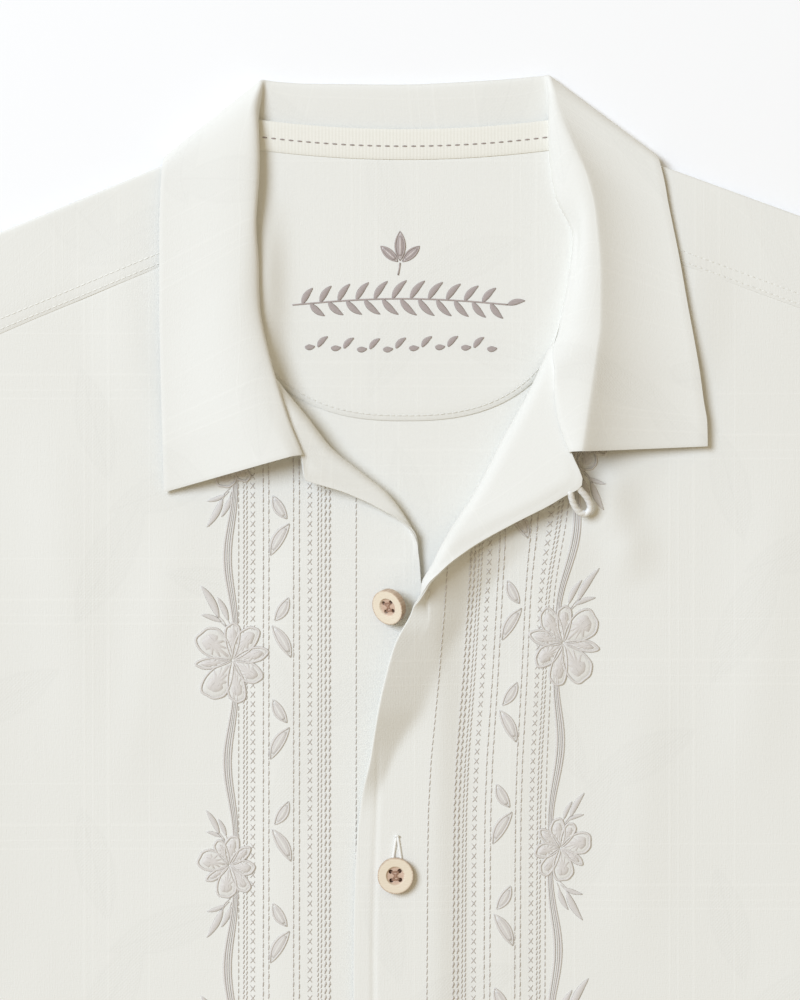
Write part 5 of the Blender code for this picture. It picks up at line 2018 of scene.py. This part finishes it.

# %% Buttons in their places
# Name and place, lean in degrees, direction that the face looks to, scale, turn. The cloth's height
# is read from the ground
BUTTON_PLACES = (
    ("button_1", -5.5, 187.6, 38.0, 206.0, 1.0, 12.0),
    ("button_2", -3.8, 80.2, 0.0, 0.0, 1.0, 4.0),
    ("button_3", -3.6, -28.0, 0.0, 0.0, 1.0, -9.0),
    ("button_4", -3.6, -136.0, 0.0, 0.0, 1.0, 17.0),
    ("button_5", -3.6, -244.0, 0.0, 0.0, 1.0, -3.0),
    ("button_neck", -78.0, 268.0, 0.0, 0.0, 0.66, 25.0),
)
# Those that come through the wearer's left front
LEFT_BUTTONS = ("button_2", "button_3", "button_4", "button_5")


def placed_copy(source, name, matrix):
    """A copy with its own mesh, moved in its points."""
    piece = source.copy()
    piece.data = source.data.copy()
    piece.name = name
    piece.data.name = name
    bpy.context.scene.collection.objects.link(piece)
    piece.data.transform(matrix)
    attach(piece, "root")
    return piece


def place_button(name, x, y, lean, face_to, scale, turn):
    ground = left_ground if name in LEFT_BUTTONS else right_ground
    height = float(ground(np.array(x), np.array(y)))
    direction = math.radians(face_to)
    axis = Vector((-math.sin(direction), math.cos(direction), 0.0))
    tilt = Matrix.Rotation(math.radians(lean), 4, axis)
    lift = GAP + BUTTON_RADIUS * 0.74 * scale * math.sin(math.radians(lean))
    spot = Matrix.Translation(Vector((x, y, height + lift)) * MM)
    matrix = spot @ tilt @ Matrix.Rotation(math.radians(turn), 4, "Z") @ Matrix.Scale(scale, 4)
    wood = placed_copy(master, "wood_" + name, matrix)
    placed_copy(thread_master, "thread_" + name, matrix)
    wood.data.materials.clear()
    wood.data.materials.append(WOOD)
    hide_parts(name)


for row in BUTTON_PLACES:
    place_button(*row)
for piece in (master, thread_master):
    bpy.data.objects.remove(piece, do_unlink=True)
print("buttons:", len(BUTTON_PLACES))

# %% Shanks of thread under the buttons
# Under a leaning button the shank stands this far towards its raised side, and is higher
SHANK_SHIFT = 2.4
right_shanks = Sewing()
left_shanks = Sewing()
for name, x, y, lean, *rest in BUTTON_PLACES:
    shanks = left_shanks if name in LEFT_BUTTONS else right_shanks
    aside = SHANK_SHIFT if lean else 0.0
    for shift in (-0.9, -0.3, 0.3, 0.9):
        shanks.stitches([(x - 1.0 + aside, y + shift)], [(x + 1.0 + aside, y + shift)],
                        0.7, 1.0 + 0.09 * lean)
right_shanks.lay("button_shanks_right", right_ground, [BUTTON_THREAD])
left_shanks.lay("button_shanks_left", left_ground, [BUTTON_THREAD])

# %% Buttonholes
# Upright slits. The button spreads each one, so its two sewn lips part below the bar at the top
HOLE_TOP = 15.4
HOLE_LOW = -4.0
holes = Sewing()
for name, x, y, *rest in BUTTON_PLACES[1:5]:
    t = np.linspace(0.0, 1.0, 12)
    for shift in (-1, 1):
        lip_x = x + 0.6 + 0.25 * shift + shift * 1.75 * np.sin(t * 0.62 * math.pi) ** 1.1
        lip_y = y + HOLE_TOP + (HOLE_LOW - HOLE_TOP) * t
        holes.ribbon(np.stack([lip_x, lip_y], axis=1), 1.4, 0.8)
    bar = ((x - 0.3, y + HOLE_TOP - 0.2), (x + 0.6, y + HOLE_TOP + 0.3),
           (x + 1.5, y + HOLE_TOP - 0.2))
    holes.ribbon(bar, 1.0, 1.0)
holes.lay("buttonholes", left_ground, [LIP_THREAD])

open_hole = Sewing()
open_hole.ribbon(((9.6, 194.0), (8.8, 191.4), (8.0, 188.6)), 1.0, 0.5)
open_hole.lay("open_buttonhole", left_ground, [LIP_THREAD])


# %% [markdown]
# ## Loop at the tip of the lapel
# A camp collar can be closed at the neck with a small loop of cord, sewn into the lapel's edge.
# Two strands are twisted round each other along one smooth route that leaves the edge and
# comes back to it, and hangs down a little from the height of the edge to the front below.

# %% Twisted cord
LOOP_ROUTE = ((65.2, 233.0), (65.7, 231.2), (66.4, 229.0), (67.7, 226.6), (69.4, 224.8),
              (71.4, 224.2), (73.0, 225.1), (73.6, 227.0), (72.9, 229.2), (71.5, 231.3),
              (69.8, 233.1), (68.5, 234.5))
STRAND_RADIUS = 1.22
TWIST_PITCH = 5.2
STRAND_SIDES = 10


def rounded_route(places, count):
    """A smooth line through the places, by Catmull-Rom."""
    places = np.asarray(places, float)
    padded = np.vstack([2 * places[0] - places[1], places, 2 * places[-1] - places[-2]])
    out = []
    for u in np.linspace(0.0, len(places) - 1.001, count):
        k = int(u)
        t = u - k
        a, b, c, d = padded[k:k + 4]
        out.append(0.5 * (2 * b + (c - a) * t + (2 * a - 5 * b + 4 * c - d) * t * t
                          + (3 * b - a - 3 * c + d) * t ** 3))
    return np.array(out)


def strand(centre, phase):
    """Points, faces and cut of one strand that winds round the centre line."""
    run = np.gradient(centre, axis=0)
    run /= np.linalg.norm(run, axis=1, keepdims=True)
    up = np.array((0.0, 0.0, 1.0))
    side = np.cross(run, up)
    side /= np.linalg.norm(side, axis=1, keepdims=True)
    over = np.cross(side, run)
    length = run_length(centre)
    angle = 2.0 * math.pi * length / TWIST_PITCH + phase
    middle = centre + (side * np.cos(angle)[:, None] + over * np.sin(angle)[:, None]) * 0.12
    turn = np.linspace(0.0, 2.0 * math.pi, STRAND_SIDES, endpoint=False)
    ring = (side[:, None, :] * np.cos(turn)[None, :, None]
            + over[:, None, :] * np.sin(turn)[None, :, None]) * STRAND_RADIUS
    verts = (middle[:, None, :] + ring).reshape(-1, 3)
    uvs = np.stack([np.repeat(length, STRAND_SIDES) + np.tile(turn, len(centre)) * 0.35,
                    np.tile(turn, len(centre)) * STRAND_RADIUS], axis=1)
    return verts, tube_faces(len(centre), STRAND_SIDES), uvs


print("sides of a strand:", STRAND_SIDES)

# %% Laying the loop
LOOP_STEPS = 90
edge_points = left_points[:, -1]
near = int(np.argmin(np.hypot(edge_points[:, 0] - 68.0, edge_points[:, 1] - 233.0)))
loop_top = float(edge_points[near, 2]) - 0.4
print("height of the lapel's tip:", round(loop_top, 2))
route = rounded_route(LOOP_ROUTE, LOOP_STEPS)
share = np.linspace(0.0, 1.0, len(route))
loop_ground = left_ground(route[:, 0], route[:, 1]) + 2.6
sag = np.sin(math.pi * share) ** 1.6
height = loop_top * (1.0 - sag) + np.maximum(loop_ground, loop_top - 6.0) * sag
centre = np.column_stack([route, height])
loop_sewing = Sewing()
for phase in (0.0, math.pi):
    loop_sewing.add(*strand(centre, phase))
loop = loop_sewing.lay("cord_loop", lambda x, y: 0.0 * x, [CORD])
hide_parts("loop")

# %% [markdown]
# ## Floor, sizes and the end
# Each sheet says how large it was cut. A fold keeps its area, so the area of a piece's grid is
# that of its cut, and the flat width and length are the cut's box.

# %% Floor
FLOOR_SIZE = 8.0
bpy.ops.object.select_all(action="DESELECT")
bpy.ops.mesh.primitive_plane_add(size=FLOOR_SIZE, location=(0.0, 0.0, 0.0))
floor = bpy.context.object
floor.name = "floor"
floor.data.materials.append(new_material("floor", (0.93, 0.93, 0.93), 0.9)[0])
print("width of the floor:", FLOOR_SIZE)


for sleeve, points in ((sleeve_right, sleeve_right_points), (sleeve_left, sleeve_left_points)):
    rows, columns = points.shape[:2]
    number = np.stack(np.meshgrid(np.arange(rows), np.arange(columns), indexing="ij"), axis=-1)
